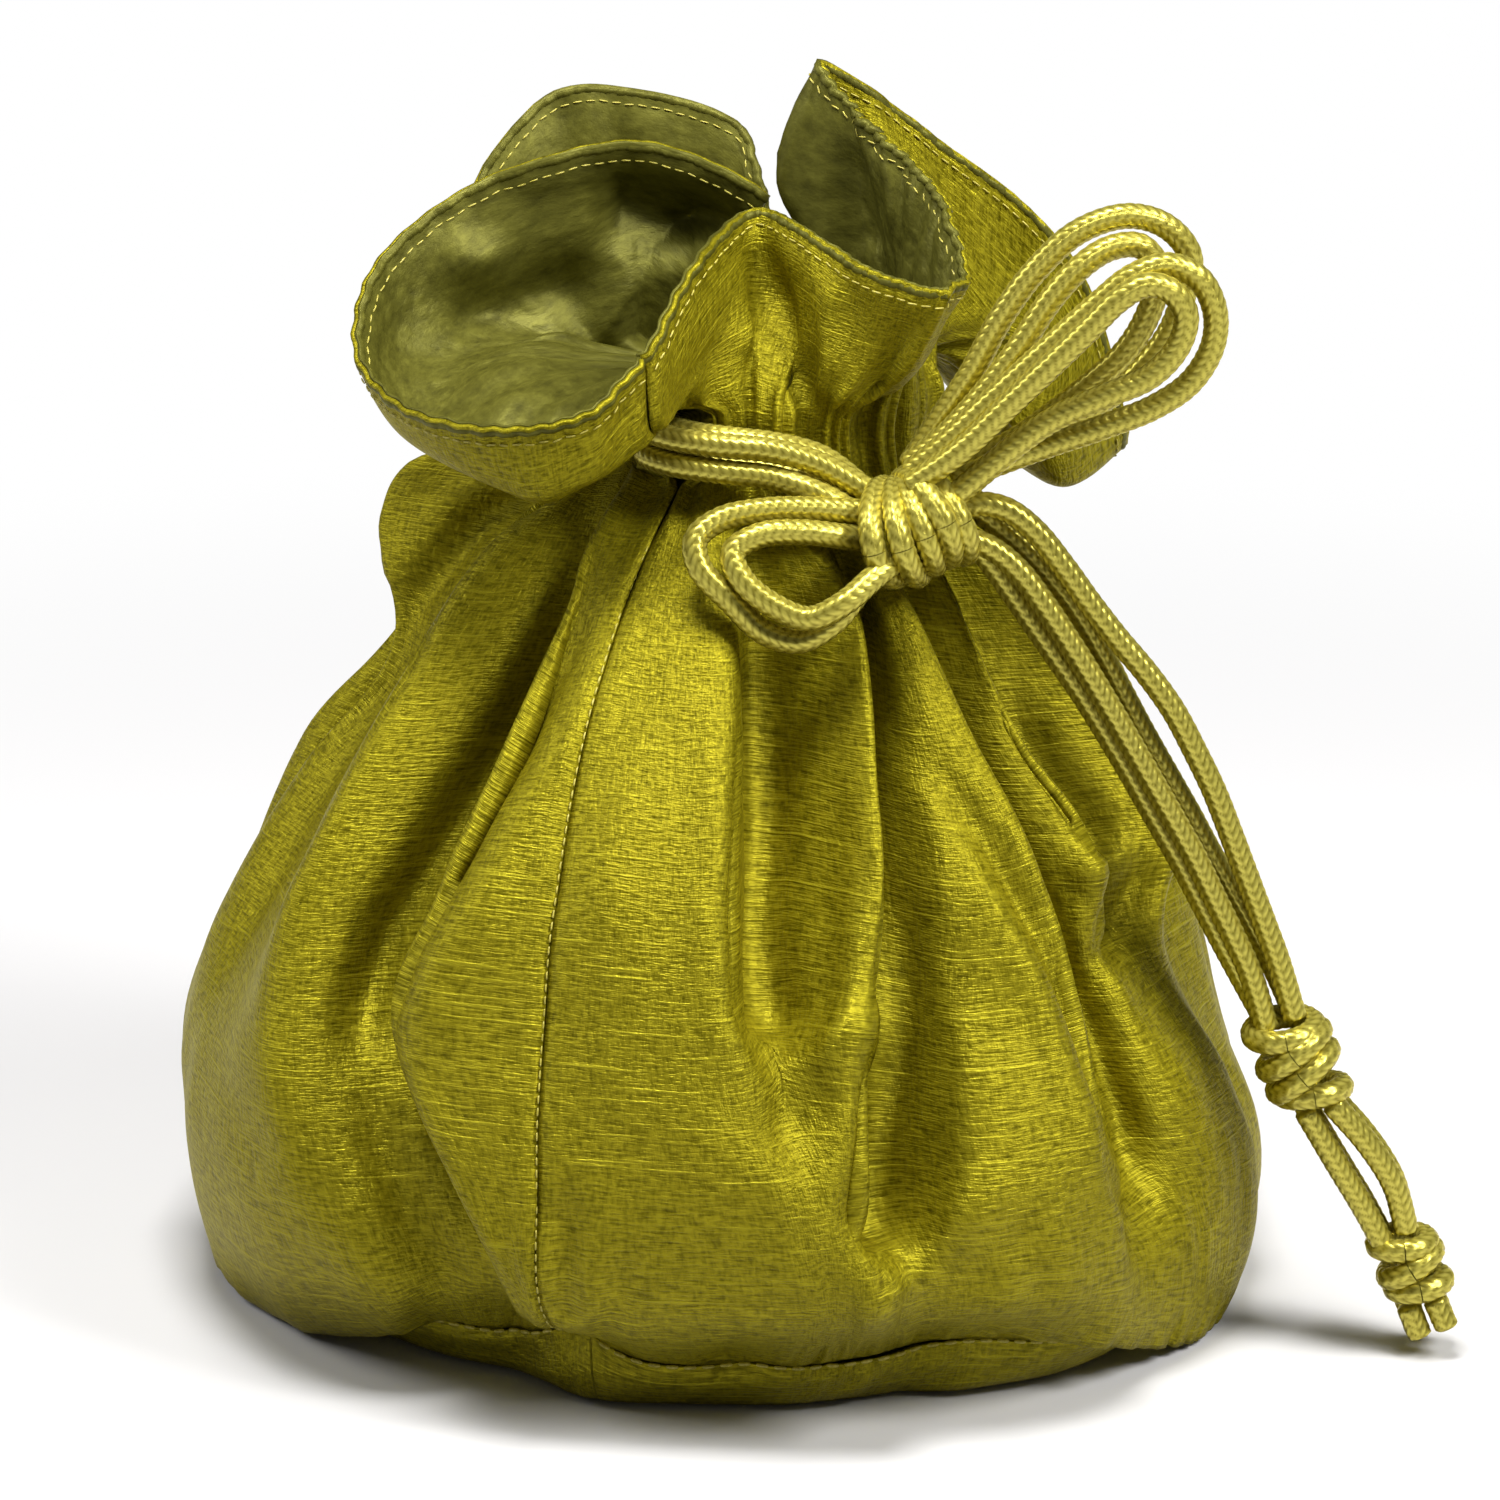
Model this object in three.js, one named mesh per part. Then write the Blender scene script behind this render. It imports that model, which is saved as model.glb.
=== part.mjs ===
// A kinchaku drawstring pouch: shantung silk outside, satin lining inside, and a
// braided cord drawn tight round the neck and tied in a bow.
// Millimetres. The pouch stands on z = 0 and its front seam faces -y.
import * as THREE from 'three';

// Cloth
const silkWall = 1.0;
const liningWall = 0.8;
const layerGap = 0.35;
const liningFace = silkWall + layerGap;
const liningBack = liningFace + liningWall;
const seamGap = 0.4;

// Body
const seamHeight = 9;
const seamRadius = 67;
const bellyRadius = 79;
const neckLow = 131;
const neckTop = 139.5;
const neckRadius = 24;
const neckCentre = new THREE.Vector2(7, 0);
const floorShare = 0.86;
const slotOpening = { right: 1.1, left: 1.4 };

// Drawstring
const cordDiameter = 3.6;
const cordGap = 0.3;
const cordSides = 8;
const ringPitch = cordDiameter + cordGap;
const ringRadius = 17.9;
const ringHeight = (neckLow + neckTop) / 2;

// The body's plan at each level from the seam to the neck: how far up it is as a share of
// the way, its radius, and its shift sideways
const { lerp } = THREE.MathUtils;
const shoulder = (share) => lerp(neckRadius, bellyRadius, share);
const levels = [
  { up: 0, radius: seamRadius, shift: 0 },
  { up: 0.107, radius: bellyRadius, shift: 0.5 },
  { up: 0.254, radius: bellyRadius, shift: -1 },
  { up: 0.418, radius: shoulder(0.88), shift: -2 },
  { up: 0.566, radius: shoulder(0.745), shift: -1 },
  { up: 0.713, radius: shoulder(0.536), shift: -0.5 },
  { up: 0.861, radius: shoulder(0.3), shift: 2.5 },
  { up: 0.934, radius: shoulder(0.145), shift: 5 },
  { up: 1, radius: neckRadius, shift: neckCentre.x },
];

// Each fold runs from the base seam to the neck and on through the ruffle to the hem.
// turn: degrees round from the front at each level; out: how far it stands out of the
// level's radius; hem: where it ends, with its height counted from the top of the casing;
// sag: how far it hangs below its straight run from there; waist: a point that it passes
// on the way instead, counted as the hem's.
const folds = [
  {
    name: 'front_seam', hem: [-11, -40, 12.5],
    turn: [-17, -19, -18, -18, -19, -20, -23, -27, -31],
    out: [-1, 1, 2, 3, 4, 4, 3, 1.5, 0.5],
  },
  {
    name: 'front_panel_edge', hem: [-3, -26, 23.5],
    turn: [9, 8, 9, 8, 6, 5, -1, -9, -19],
    out: [-1, 1, 3, 4, 5, 5, 3, 2, 1],
  },
  {
    name: 'front_pleat', hem: [5, -9, 27.5],
    turn: [14, 13, 14, 12, 12, 11, 5, -1, -8],
    out: [-1, 1, 2, -4, -12, -12, -8, -5, -2],
  },
  {
    name: 'right_tube', hem: [11, -16, 26.5],
    turn: [20, 19, 17, 17, 20, 23, 23, 14, 4],
    out: [-1, 1, 1.5, 2, 3, 3, 2, -1, 1],
  },
  {
    name: 'right_tube_valley', hem: [18, -24, 23.5],
    turn: [26, 25, 18, 19, 23, 27, 28, 22, 14],
    out: [-1, 0.5, -9, -13, -14, -12, -7, -5, -2],
  },
  {
    name: 'right_panel_start', hem: [25, -30, 21.5],
    turn: [32, 31, 29, 29, 31, 32, 30, 26, 20],
    out: [3, 2, 2, 2, 2, 2, 1, -3, 1],
  },
  {
    name: 'right_panel_edge', hem: [32, -32, 20.5],
    turn: [46, 45, 43, 44, 42, 39, 35, 32, 27],
    out: [8, 3, 4, 5, 5, 5, 3, -2, 1],
  },
  {
    name: 'right_panel_valley', hem: [35, -26, 21.5],
    turn: [58, 57, 51, 49, 45, 41, 41, 39, 36],
    out: [9, 1, -7, -10, -11, -9, -5, -4, -2],
  },
  {
    name: 'shoulder_edge', hem: [33, -18, 28.5],
    turn: [63, 62, 58, 56, 55, 49, 47, 46, 45],
    out: [10, 3, 1, -3, 1, 3, 2, 1, 1],
  },
  {
    name: 'shoulder_valley', hem: [30, -10, 32.5],
    turn: [68, 67, 65, 63, 61, 57, 55, 54, 54],
    out: [10.5, 3.5, 2, -4, -9, -10, -7, -4, -2],
  },
  {
    name: 'shoulder_corner', hem: [24, -3, 36.5],
    turn: [73, 72, 70, 70, 76, 76, 66, 65, 64],
    out: [10, 4, 1, -2, 6, 6, 4, 2, 1],
  },
  {
    name: 'right_valley', hem: [19, 3, 40.5],
    turn: [79, 78, 78, 80, 85, 88, 82, 78, 74],
    out: [9, 2, -4, -5, -4, -5, -4, -3, -2],
  },
  {
    name: 'right_fold', hem: [15, 8, 45.5], waist: [9.5, 9, 27.5],
    turn: [88, 88, 89, 92, 95, 97, 92, 88, 84],
    out: [8, 2, -2, 0, 1, 2, 1, 1, 1],
  },
  {
    name: 'right_back_valley_1', hem: [22.5, 12, 40.5],
    turn: [98, 98, 99, 100, 103, 105, 101, 98, 94],
    out: [8, 1, -5, -8, -9, -8, -5, -3, -2],
  },
  {
    name: 'right_back_fold_1', hem: [32.5, 15, 32.3], sag: 5,
    turn: [110, 110, 109, 111, 112, 112, 109, 107, 104],
    out: [6, 2, 2, 3, 3, 3, 2, 1, 1],
  },
  {
    name: 'right_back_valley_2', hem: [44, 17, 23.3], sag: 9,
    turn: [121, 120, 119, 119, 120, 120, 118, 116, 114],
    out: [3, -2, -6, -9, -9, -8, -5, -3, -2],
  },
  {
    name: 'right_back_fold_2', hem: [53, 18, 13], sag: 8,
    turn: [131, 131, 132, 130, 129, 129, 127, 126, 124],
    out: [1, 1, 2, 3, 3, 3, 2, 1, 1],
  },
  {
    name: 'right_back_valley_3', hem: [58.5, 20, -1.5], waist: [49, 17, -11.5],
    turn: [141, 142, 143, 142, 139, 138, 137, 136, 134],
    out: [-1, -2, -4, -8, -9, -8, -5, -3, -2],
  },
  {
    name: 'right_back_fold_3', hem: [61, 27, -16.5], waist: [51, 21, -22.5],
    turn: [152, 153, 153, 152, 150, 149, 147, 146, 144],
    out: [0, 1, 2, 3, 4, 3, 2, 1, 1],
  },
  {
    name: 'back_valley_1', hem: [53, 38, -12.5], waist: [44, 31, -19.5],
    turn: [163, 163, 162, 162, 161, 160, 158, 156, 154],
    out: [-1, -2, -6, -10, -11, -9, -5, -3, -2],
  },
  {
    name: 'back_fold_1', hem: [36, 44, 1.5], sag: 4,
    turn: [173, 172, 171, 172, 173, 171, 169, 167, 164],
    out: [0, 1, 3, 3, 3, 3, 2, 1, 1],
  },
  {
    name: 'back_valley_2', hem: [19, 40, 10.5],
    turn: [182, 181, 181, 183, 184, 182, 179, 177, 174],
    out: [0, -2, -4, -7, -9, -8, -5, -3, -2],
  },
  {
    name: 'back_fold_2', hem: [8, 28, 16.5],
    turn: [192, 192, 193, 194, 194, 192, 189, 187, 184],
    out: [0, 1, 2, 3, 4, 3, 2, 1, 1],
  },
  {
    name: 'back_valley_3', hem: [3, 34, 30.5],
    turn: [202, 203, 204, 204, 203, 202, 199, 197, 194],
    out: [-1, -3, -6, -9, -10, -9, -5, -3, -2],
  },
  {
    name: 'back_fold_3', hem: [-13, 38, 35.5],
    turn: [213, 213, 213, 212, 212, 211, 209, 207, 204],
    out: [0, 1, 3, 3, 3, 3, 2, 1, 1],
  },
  {
    name: 'left_back_valley_1', hem: [-26, 36, 35.5],
    turn: [224, 223, 222, 221, 221, 221, 219, 217, 214],
    out: [-1, -2, -4, -8, -9, -7, -4, -3, -2],
  },
  {
    name: 'left_back_fold_1', hem: [-37.5, 26, 22],
    turn: [234, 233, 232, 231, 231, 231, 229, 227, 224],
    out: [0, 1, 2, 3, 3, 3, 2, 2, 1],
  },
  {
    name: 'left_back_valley_2', hem: [-18, 17, 25.5],
    turn: [244, 243, 242, 241, 241, 240, 238, 236, 233],
    out: [0, -1, -4, -7, -8, -8, -4, 0, -2],
  },
  {
    name: 'left_back_fold_2', hem: [6, 8, 26.5],
    turn: [253, 252, 252, 251, 250, 248, 246, 243, 240],
    out: [4, 2, 3, 2, 2, -1, 4, 8, 1],
  },
  {
    name: 'left_lobe_valley', hem: [-12, 5, 34.5],
    turn: [260, 260, 260, 259, 257, 254, 250, 249, 248],
    out: [7, 3, 1, -2, -6, -6, 5, 12, -1],
  },
  {
    name: 'left_lobe', hem: [-37.5, 3, 28],
    turn: [266, 267, 268, 267, 265, 261, 254, 255, 256],
    out: [8, 4, 2.5, 0, -3, -4, 16, 22, 1],
  },
  {
    name: 'left_valley', hem: [-52.5, -10, 16.5], sag: 3,
    turn: [-80, -78, -76, -76, -76, -79, -88, -91, -93],
    out: [7, 2, 0, -4, -9, -10, -1, 3, -2],
  },
  {
    name: 'left_tube', hem: [-50, -28, 5.5], sag: 6,
    turn: [-45, -47, -51, -55, -57, -58, -64, -72, -80],
    out: [-4, 0, 3, 4, 4, 2.5, 3, 2, 1],
  },
  {
    name: 'left_tube_valley', hem: [-35, -44, 3.5], sag: 6,
    turn: [-32, -29, -33, -39, -38, -35, -39, -52, -66],
    out: [-6, -10, -15, -19, -19, -17, -11, -6, -3],
  },
  {
    name: 'left_panel_edge', hem: [-21, -48, 5.5], sag: 3,
    turn: [-22, -22, -27, -37, -35, -33, -35, -43, -51],
    out: [-2, 1, 2.5, 3, 4, 4, 3, 2, 1],
  },
];

// Rows of the cloth, counted in levels from the base seam: 8 and 9 are the neck, 12 the hem
const neckRow = levels.length - 1;
const hemRow = neckRow + 4;
const rows = [0, 0.5, 1, 2, 3, 4, 5, 6, 6.5, 7, 7.5, 7.8, 8, 9, 9.4, 10, 11, 11.5, 12];
const stepsPerFold = 2;
const backSeam = 21.5;

// A petal that reaches this far out of the neck lies flat before it turns up
const flatPetal = 30;

function polar(centreX, radius, degrees, z) {
  const angle = THREE.MathUtils.degToRad(degrees);
  return new THREE.Vector3(centreX + radius * Math.sin(angle), -radius * Math.cos(angle), z);
}

// One fold from the base seam to the hem. A petal that hangs outwards leaves the neck
// level and then turns up; a wall that leans in rises straight.
function foldCurve({ turn, out, hem, sag = 0, waist }) {
  const points = levels.map(({ up, radius, shift }, i) => (
    polar(shift, radius + out[i], turn[i], lerp(seamHeight, neckLow, up))));
  const low = points[neckRow];
  const top = new THREE.Vector3(low.x, low.y, neckTop);
  const fromCasing = ([x, y, rise]) => new THREE.Vector3(x, y, neckTop + rise);
  const end = fromCasing(hem);
  const reach = end.clone().sub(top);
  const outward = new THREE.Vector2(top.x, top.y).sub(neckCentre).normalize();
  const flare = THREE.MathUtils.clamp(outward.dot(reach) / flatPetal, 0, 1);
  const along = (flat, rise) => new THREE.Vector3(flat, flat, rise).multiply(reach).add(top);
  const lower = along(lerp(0.33, 0.5, flare), lerp(0.33, 0.1, flare));
  const upper = along(lerp(0.67, 0.87, flare), lerp(0.67, 0.55, flare));
  upper.z -= sag;
  if (waist) {
    upper.copy(fromCasing(waist));
    lower.copy(top).lerp(upper, 0.4);
    lower.z = Math.max(lower.z, neckTop - 1);
  }
  points.push(top, lower, upper, end);
  return new THREE.CatmullRomCurve3(points, false, 'centripetal');
}

const foldCurves = folds.map(foldCurve);

// The closed line round the pouch at one row, and a point on it counted in folds
function rowCurve(row) {
  const points = foldCurves.map((curve) => curve.getPoint(row / hemRow));
  return new THREE.CatmullRomCurve3(points, true, 'centripetal');
}

function bump(row, from, full, until, end) {
  const { smoothstep } = THREE.MathUtils;
  return smoothstep(row, from, full) * (1 - smoothstep(row, until, end));
}

// The front seam is left open at the neck, where the cords come out of their casing
function openSlot(fold, row) {
  const open = bump(row, neckRow - 0.2, neckRow, neckRow + 1, neckRow + 1.4);
  const count = folds.length;
  const edge = 2;
  if (fold < edge) {
    return edge - (edge - fold) * (1 - open * (1 - slotOpening.right / edge));
  }
  if (fold > count - edge) {
    return count - edge + (fold - count + edge) * (1 - open * (1 - (edge - slotOpening.left) / edge));
  }
  return fold;
}

// A grid of points on the outer face of the cloth, row by row, each with the direction
// along its row and the one that points out of the cloth
function clothGrid(fromFold, toFold, slotted) {
  const steps = Math.round((toFold - fromFold) * stepsPerFold);
  const nudge = 0.02;
  return rows.map((row) => {
    const line = rowCurve(row);
    const below = rowCurve(Math.max(row - nudge, 0));
    const above = rowCurve(Math.min(row + nudge, hemRow));
    return Array.from({ length: steps + 1 }, (_, i) => {
      const fold = fromFold + i / stepsPerFold;
      const share = ((slotted ? openSlot(fold, row) : fold) / folds.length) % 1;
      const along = line.getTangent(share);
      const up = above.getPoint(share).sub(below.getPoint(share)).normalize();
      const shift = (i === 0 ? seamGap : 0) - (i === steps ? seamGap : 0);
      const position = line.getPoint(share).addScaledVector(along, shift / 2);
      return { row, position, outward: along.clone().cross(up).normalize() };
    });
  });
}

// A closed sheet between two grids of points, the first one outside
function sheetGeometry(face, back) {
  const height = face.length;
  const width = face[0].length;
  const half = height * width;
  const positions = [...face.flat(), ...back.flat()].flatMap((point) => point.toArray());
  const indices = [];
  const quad = (a, b, c, d) => indices.push(a, b, c, a, c, d);
  const at = (row, column) => row * width + column;
  for (let row = 0; row < height - 1; row += 1) {
    for (let column = 0; column < width - 1; column += 1) {
      const [a, b] = [at(row, column), at(row, column + 1)];
      const [d, c] = [at(row + 1, column), at(row + 1, column + 1)];
      quad(a, b, c, d);
      quad(a + half, d + half, c + half, b + half);
    }
    quad(at(row, 0), at(row + 1, 0), at(row + 1, 0) + half, at(row, 0) + half);
    const last = width - 1;
    quad(at(row + 1, last), at(row, last), at(row, last) + half, at(row + 1, last) + half);
  }
  for (let column = 0; column < width - 1; column += 1) {
    quad(at(0, column + 1), at(0, column), at(0, column) + half, at(0, column + 1) + half);
    const top = height - 1;
    quad(at(top, column), at(top, column + 1), at(top, column + 1) + half, at(top, column) + half);
  }
  const geometry = new THREE.BufferGeometry();
  geometry.setAttribute('position', new THREE.Float32BufferAttribute(positions, 3));
  geometry.setIndex(indices);
  geometry.computeVertexNormals();
  return geometry;
}

function silkPanel(fromFold, toFold) {
  const grid = clothGrid(fromFold, toFold, true);
  const layer = (depth) => grid.map((line) => (
    line.map(({ position, outward }) => position.clone().addScaledVector(outward, -depth))));
  return sheetGeometry(layer(0), layer(silkWall));
}

// The lining lies behind the silk, and inside the drawstring at the neck
function liningPanel(fromFold, toFold) {
  const casingInside = ringRadius - cordDiameter / 2 - cordGap;
  const pleatShare = 0.5;
  const pleatDepth = 1.5;
  const grid = clothGrid(fromFold, toFold, false);
  const face = [];
  const back = [];
  for (const line of grid) {
    const pairs = line.map(({ row, position, outward }) => {
      const front = position.clone().addScaledVector(outward, -liningFace);
      const centre = new THREE.Vector3(neckCentre.x, neckCentre.y, front.z);
      const radial = front.clone().sub(centre);
      const distance = radial.length();
      radial.normalize();
      const depth = distance - neckRadius + liningFace;
      const pleat = THREE.MathUtils.clamp(depth, -pleatDepth, pleatDepth);
      const drawnTo = casingInside + (pleat - pleatDepth) * pleatShare;
      const drawn = centre.clone().addScaledVector(radial, drawnTo);
      const inCasing = bump(row, neckRow - 1, neckRow, neckRow + 1, neckRow + 1.45);
      front.lerp(drawn, inCasing);
      const inward = outward.clone().lerp(radial, inCasing).normalize().multiplyScalar(-liningWall);
      return [front, front.clone().add(inward)];
    });
    face.push(pairs.map(([front]) => front));
    back.push(pairs.map(([, behind]) => behind));
  }
  return sheetGeometry(face, back);
}

// A round dish with the outline of the base seam. Each ring of its under side and its
// upper side is a share of that outline at a height.
function dishGeometry(under, over) {
  const count = folds.length * stepsPerFold;
  const outline = Array.from({ length: count }, (_, i) => rowCurve(0).getPoint(i / count));
  const ring = ([share, z]) => outline.map(({ x, y }) => new THREE.Vector3(x * share, y * share, z));
  const rings = [...under.map(ring), ...over.map(ring).reverse()];
  const positions = rings.flat().flatMap((point) => point.toArray());
  const indices = [];
  for (let i = 0; i < rings.length - 1; i += 1) {
    for (let j = 0; j < count; j += 1) {
      const next = (j + 1) % count;
      const [a, b] = [i * count + j, i * count + next];
      const [c, d] = [b + count, a + count];
      indices.push(a, b, c, a, c, d);
    }
  }
  const lowest = positions.length / 3;
  positions.push(0, 0, under[0][1], 0, 0, over[0][1]);
  for (let j = 0; j < count; j += 1) {
    const next = (j + 1) % count;
    const last = (rings.length - 1) * count;
    indices.push(lowest, next, j);
    indices.push(lowest + 1, last + j, last + next);
  }
  const geometry = new THREE.BufferGeometry();
  geometry.setAttribute('position', new THREE.Float32BufferAttribute(positions, 3));
  geometry.setIndex(indices);
  geometry.computeVertexNormals();
  return geometry;
}

// The base from its flat floor up the rounded edge to the seam: share of the outline,
// height, and how far the inner face lies above and inside it, as shares of the cloth
const baseEdge = [
  { share: floorShare, z: 0, above: 1, inside: 0 },
  { share: 0.93, z: 1.6, above: 1, inside: 0.6 },
  { share: 0.98, z: 4.8, above: 0.3, inside: 1 },
  { share: 1, z: seamHeight - seamGap, above: 0, inside: 1 },
];

function baseLayer(depth) {
  return baseEdge.map(({ share, z, above, inside }) => (
    [share - (inside * depth) / seamRadius, z + above * depth]));
}

// Cords, each a plain tube through its points
const leadUpper = ringHeight + ringPitch / 2;
const leadLower = ringHeight - ringPitch / 2;

const cordRoutes = {
  lead_inner_upper: [
    [0, -16.5, leadUpper], [-3.5, -16.5, leadUpper], [-6.1, -19, leadUpper],
    [-6.1, -22.5, leadUpper], [-3.6, -25.1, leadUpper], [1.3, -26.9, leadUpper - 0.2],
    [8, -27.3, 136.2], [14.5, -27, 134.2], [21.2, -28.9, 129.4],
  ],
  lead_inner_lower: [
    [0, -16.5, leadLower], [-3.5, -16.5, leadLower], [-6.1, -19, leadLower],
    [-6.1, -22.5, leadLower], [-3.6, -25.1, leadLower], [1.3, -26.9, leadLower - 0.2],
    [8, -27.8, 132.3], [14.8, -29.6, 129.8], [20.9, -29.3, 124.9],
  ],
  lead_outer_upper: [
    [-9.2, -7.6, leadUpper], [-8.3, -11.2, leadUpper], [-9.3, -15.3, leadUpper],
    [-11, -21.2, leadUpper], [-7.2, -27.2, leadUpper], [0, -30.8, leadUpper - 0.2],
    [7.5, -31.6, 136.4], [14.2, -31.7, 134.4], [21.2, -32.9, 130.7],
  ],
  lead_outer_lower: [
    [-9.2, -7.6, leadLower], [-8.3, -11.2, leadLower], [-9.3, -15.3, leadLower],
    [-11, -21.2, leadLower], [-7.2, -27.2, leadLower], [0, -30.8, leadLower - 0.2],
    [7.5, -31.8, 132.4], [14.4, -33.7, 130.4], [20.9, -32.9, 126.6],
  ],
  loop_a_outer: [
    [27, -27.7, 133.4], [30.2, -29, 138.8], [35.4, -32, 147.7], [39.8, -33, 156.5],
    [44.5, -33, 163.2], [50.6, -32.5, 168.7], [57.5, -31.5, 170.7], [63, -30.5, 169],
    [66.5, -29.5, 164.6], [65.9, -28.5, 159], [64, -27.5, 152.9], [58.9, -27, 146],
    [50, -26.5, 139.7], [40.7, -26.6, 134.5], [33.2, -27.6, 131.8],
  ],
  loop_a_inner: [
    [27, -31.6, 134.6], [32, -33.4, 139.2], [37.7, -35, 146.2], [42.4, -36, 153],
    [46.4, -36, 159.4], [50.6, -35.5, 164.1], [54.9, -34.5, 166.7], [59.2, -33.5, 166.8],
    [61.8, -32.5, 163.4], [61.1, -31.5, 157.8], [57.9, -31, 151.4], [51.9, -30.5, 145.4],
    [42.8, -30.5, 138.3], [33.3, -31.5, 133.2],
  ],
  loop_b_outer: [
    [27, -35.5, 134.4], [31.6, -37.2, 138.6], [38, -38.7, 145.3], [45.7, -39.5, 152.9],
    [53.5, -39.5, 160.2], [57.9, -39.5, 163.8], [62.7, -39, 165.3], [67.1, -38.5, 163.4],
    [69.6, -38, 158.7], [69.5, -37.5, 153.4], [66.5, -37, 147.9], [61.4, -36.5, 144.1],
    [54.6, -36, 141.2], [46, -35.2, 138], [33.3, -35.4, 133.2],
  ],
  loop_b_inner: [
    [27, -39.4, 133.4], [33.7, -41.2, 138.7], [40.7, -42.6, 146], [46.9, -43.5, 152.4],
    [51.8, -43.5, 157.3], [55.6, -43.5, 161.2], [59.4, -43, 163.3], [62.9, -42.5, 162.5],
    [65.3, -42, 158.9], [64.4, -41.5, 154.3], [60.5, -41, 149.7], [53.5, -40.5, 146.4],
    [45.8, -39.6, 142.4], [33.2, -39.3, 131.9],
  ],
  loop_left_outer: [
    [21.2, -36.8, 128.7], [12.5, -38, 129.5], [6.1, -39, 129.6], [-0.3, -40.5, 128.6],
    [-3.7, -42.5, 126.2], [-3.1, -44.5, 122.6], [1.2, -46, 118.2], [6.1, -46.5, 113.6],
    [11.1, -46.5, 112.4], [16, -45.5, 115], [20, -42.6, 119.2], [23.4, -39.6, 121.2],
  ],
  loop_left_inner: [
    [20.9, -37.2, 124.7], [16.8, -40.5, 126.2], [11.1, -42, 127.2], [5.4, -43, 127],
    [1.6, -44.5, 124.8], [3.2, -47, 121.2], [7.8, -48.5, 117.9], [12.4, -49, 116.4],
    [17, -48.7, 118.4], [22, -45.3, 121.8], [25.6, -41.9, 123.6],
  ],
  tail_outer_front: [
    [32.9, -35.4, 128.6], [36.8, -35.5, 129.6], [40.8, -35.5, 128.7], [44.8, -35.7, 125.6],
    [48.8, -35.9, 120.6], [52.8, -36.1, 115], [56.8, -36.3, 109.8], [60.9, -36.5, 104.9],
    [64.9, -36.8, 99.3], [68.1, -37, 93.3], [71, -37.2, 87.3], [73.5, -37.4, 81], [76, -37.6, 74.4],
    [78.5, -37.8, 67.8], [80.9, -38, 61.3], [83.4, -38.1, 53],
  ],
  tail_outer_back: [
    [33.3, -31.5, 128.5], [36.8, -31.5, 127.3], [40.4, -31.5, 124.5], [44.3, -31.7, 121],
    [48.3, -31.9, 116.5], [51.9, -32.1, 111.5], [55, -32.3, 106.1], [58, -32.5, 100.2],
    [61.2, -32.8, 94.2], [64.4, -33, 88.5], [67.8, -33.2, 82.5], [71, -33.4, 76.5],
    [74.5, -33.6, 70.4], [77.8, -33.8, 64.5], [80.6, -34, 59.2], [83.4, -34.2, 53],
  ],
  tail_inner_front: [
    [32.9, -35.4, 124.2], [36.2, -35.5, 124.1], [39.5, -35.5, 122.4], [42.8, -35.7, 119.4],
    [46.5, -36, 114.4], [50.3, -36.2, 108.6], [54.1, -36.4, 102.4], [57.8, -36.6, 96.1],
    [61.4, -36.9, 89.8], [64.9, -37.1, 83.6], [68.3, -37.3, 77.5], [71.3, -37.5, 71.3],
    [74.1, -37.8, 65.6], [76.6, -38, 60.2], [79.4, -38.1, 51.3],
  ],
  tail_inner_back: [
    [33.4, -31.5, 124], [35.6, -31.5, 122.9], [38.5, -31.5, 120], [41.6, -31.7, 115.7],
    [45, -32, 110.7], [48.5, -32.2, 105.6], [52.1, -32.4, 100.3], [55.8, -32.6, 94.3],
    [59.5, -32.9, 88], [63, -33.1, 81.7], [66.5, -33.3, 75.6], [69.7, -33.5, 69.4],
    [72.6, -33.8, 63.8], [75.4, -34, 58.6], [79.4, -34.2, 51.3],
  ],
  strand_left_front: [[85.3, -39.7, 38.9], [90.2, -39.5, 30.4], [94.2, -39.1, 23.6], [97.1, -38.9, 18.2]],
  strand_left_back: [[85.3, -35.8, 38.9], [90.2, -35.5, 30.4], [94.2, -35.1, 23.6], [97.1, -35, 18.2]],
  strand_right_front: [[89.2, -39.7, 40], [94.6, -39.5, 33.6], [98.6, -39.1, 27], [100.6, -38.9, 20.1]],
  strand_right_back: [[89.2, -35.8, 40], [94.6, -35.5, 33.6], [98.6, -35.1, 27], [100.6, -35, 20.1]],
  tip_left_front: [[101.2, -38.9, 7.9], [102.1, -38.9, 5.8], [103, -39, 3.6]],
  tip_left_back: [[101.2, -34.9, 7.9], [102.1, -34.7, 5.4], [103, -34.6, 2.8]],
  tip_right_front: [[105.1, -38.9, 8.9], [106, -39, 7], [106.9, -39.2, 5]],
  tip_right_back: [[105.1, -34.9, 8.9], [106, -34.8, 6.6], [106.9, -34.6, 4.2]],
};

function cordGeometry(path, steps) {
  const section = new THREE.Shape();
  section.absarc(0, 0, cordDiameter / 2, 0, Math.PI * 2);
  return new THREE.ExtrudeGeometry(section, { steps, curveSegments: cordSides / 2, extrudePath: path });
}

function freeCord(points) {
  const line = points.map((point) => new THREE.Vector3(...point));
  const path = new THREE.CatmullRomCurve3(line, false, 'centripetal');
  const stepLength = cordDiameter * 2.2;
  return cordGeometry(path, Math.max(2, Math.round(path.getLength() / stepLength)));
}

// The cord inside the casing, from one side of the open seam right round to the other
function ringCord(height) {
  const from = -19;
  const to = 290;
  const steps = 18;
  const points = Array.from({ length: steps + 1 }, (_, i) => (
    polar(neckCentre.x, ringRadius, lerp(from, to, i / steps), height)));
  return cordGeometry(new THREE.CatmullRomCurve3(points), steps);
}

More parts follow.
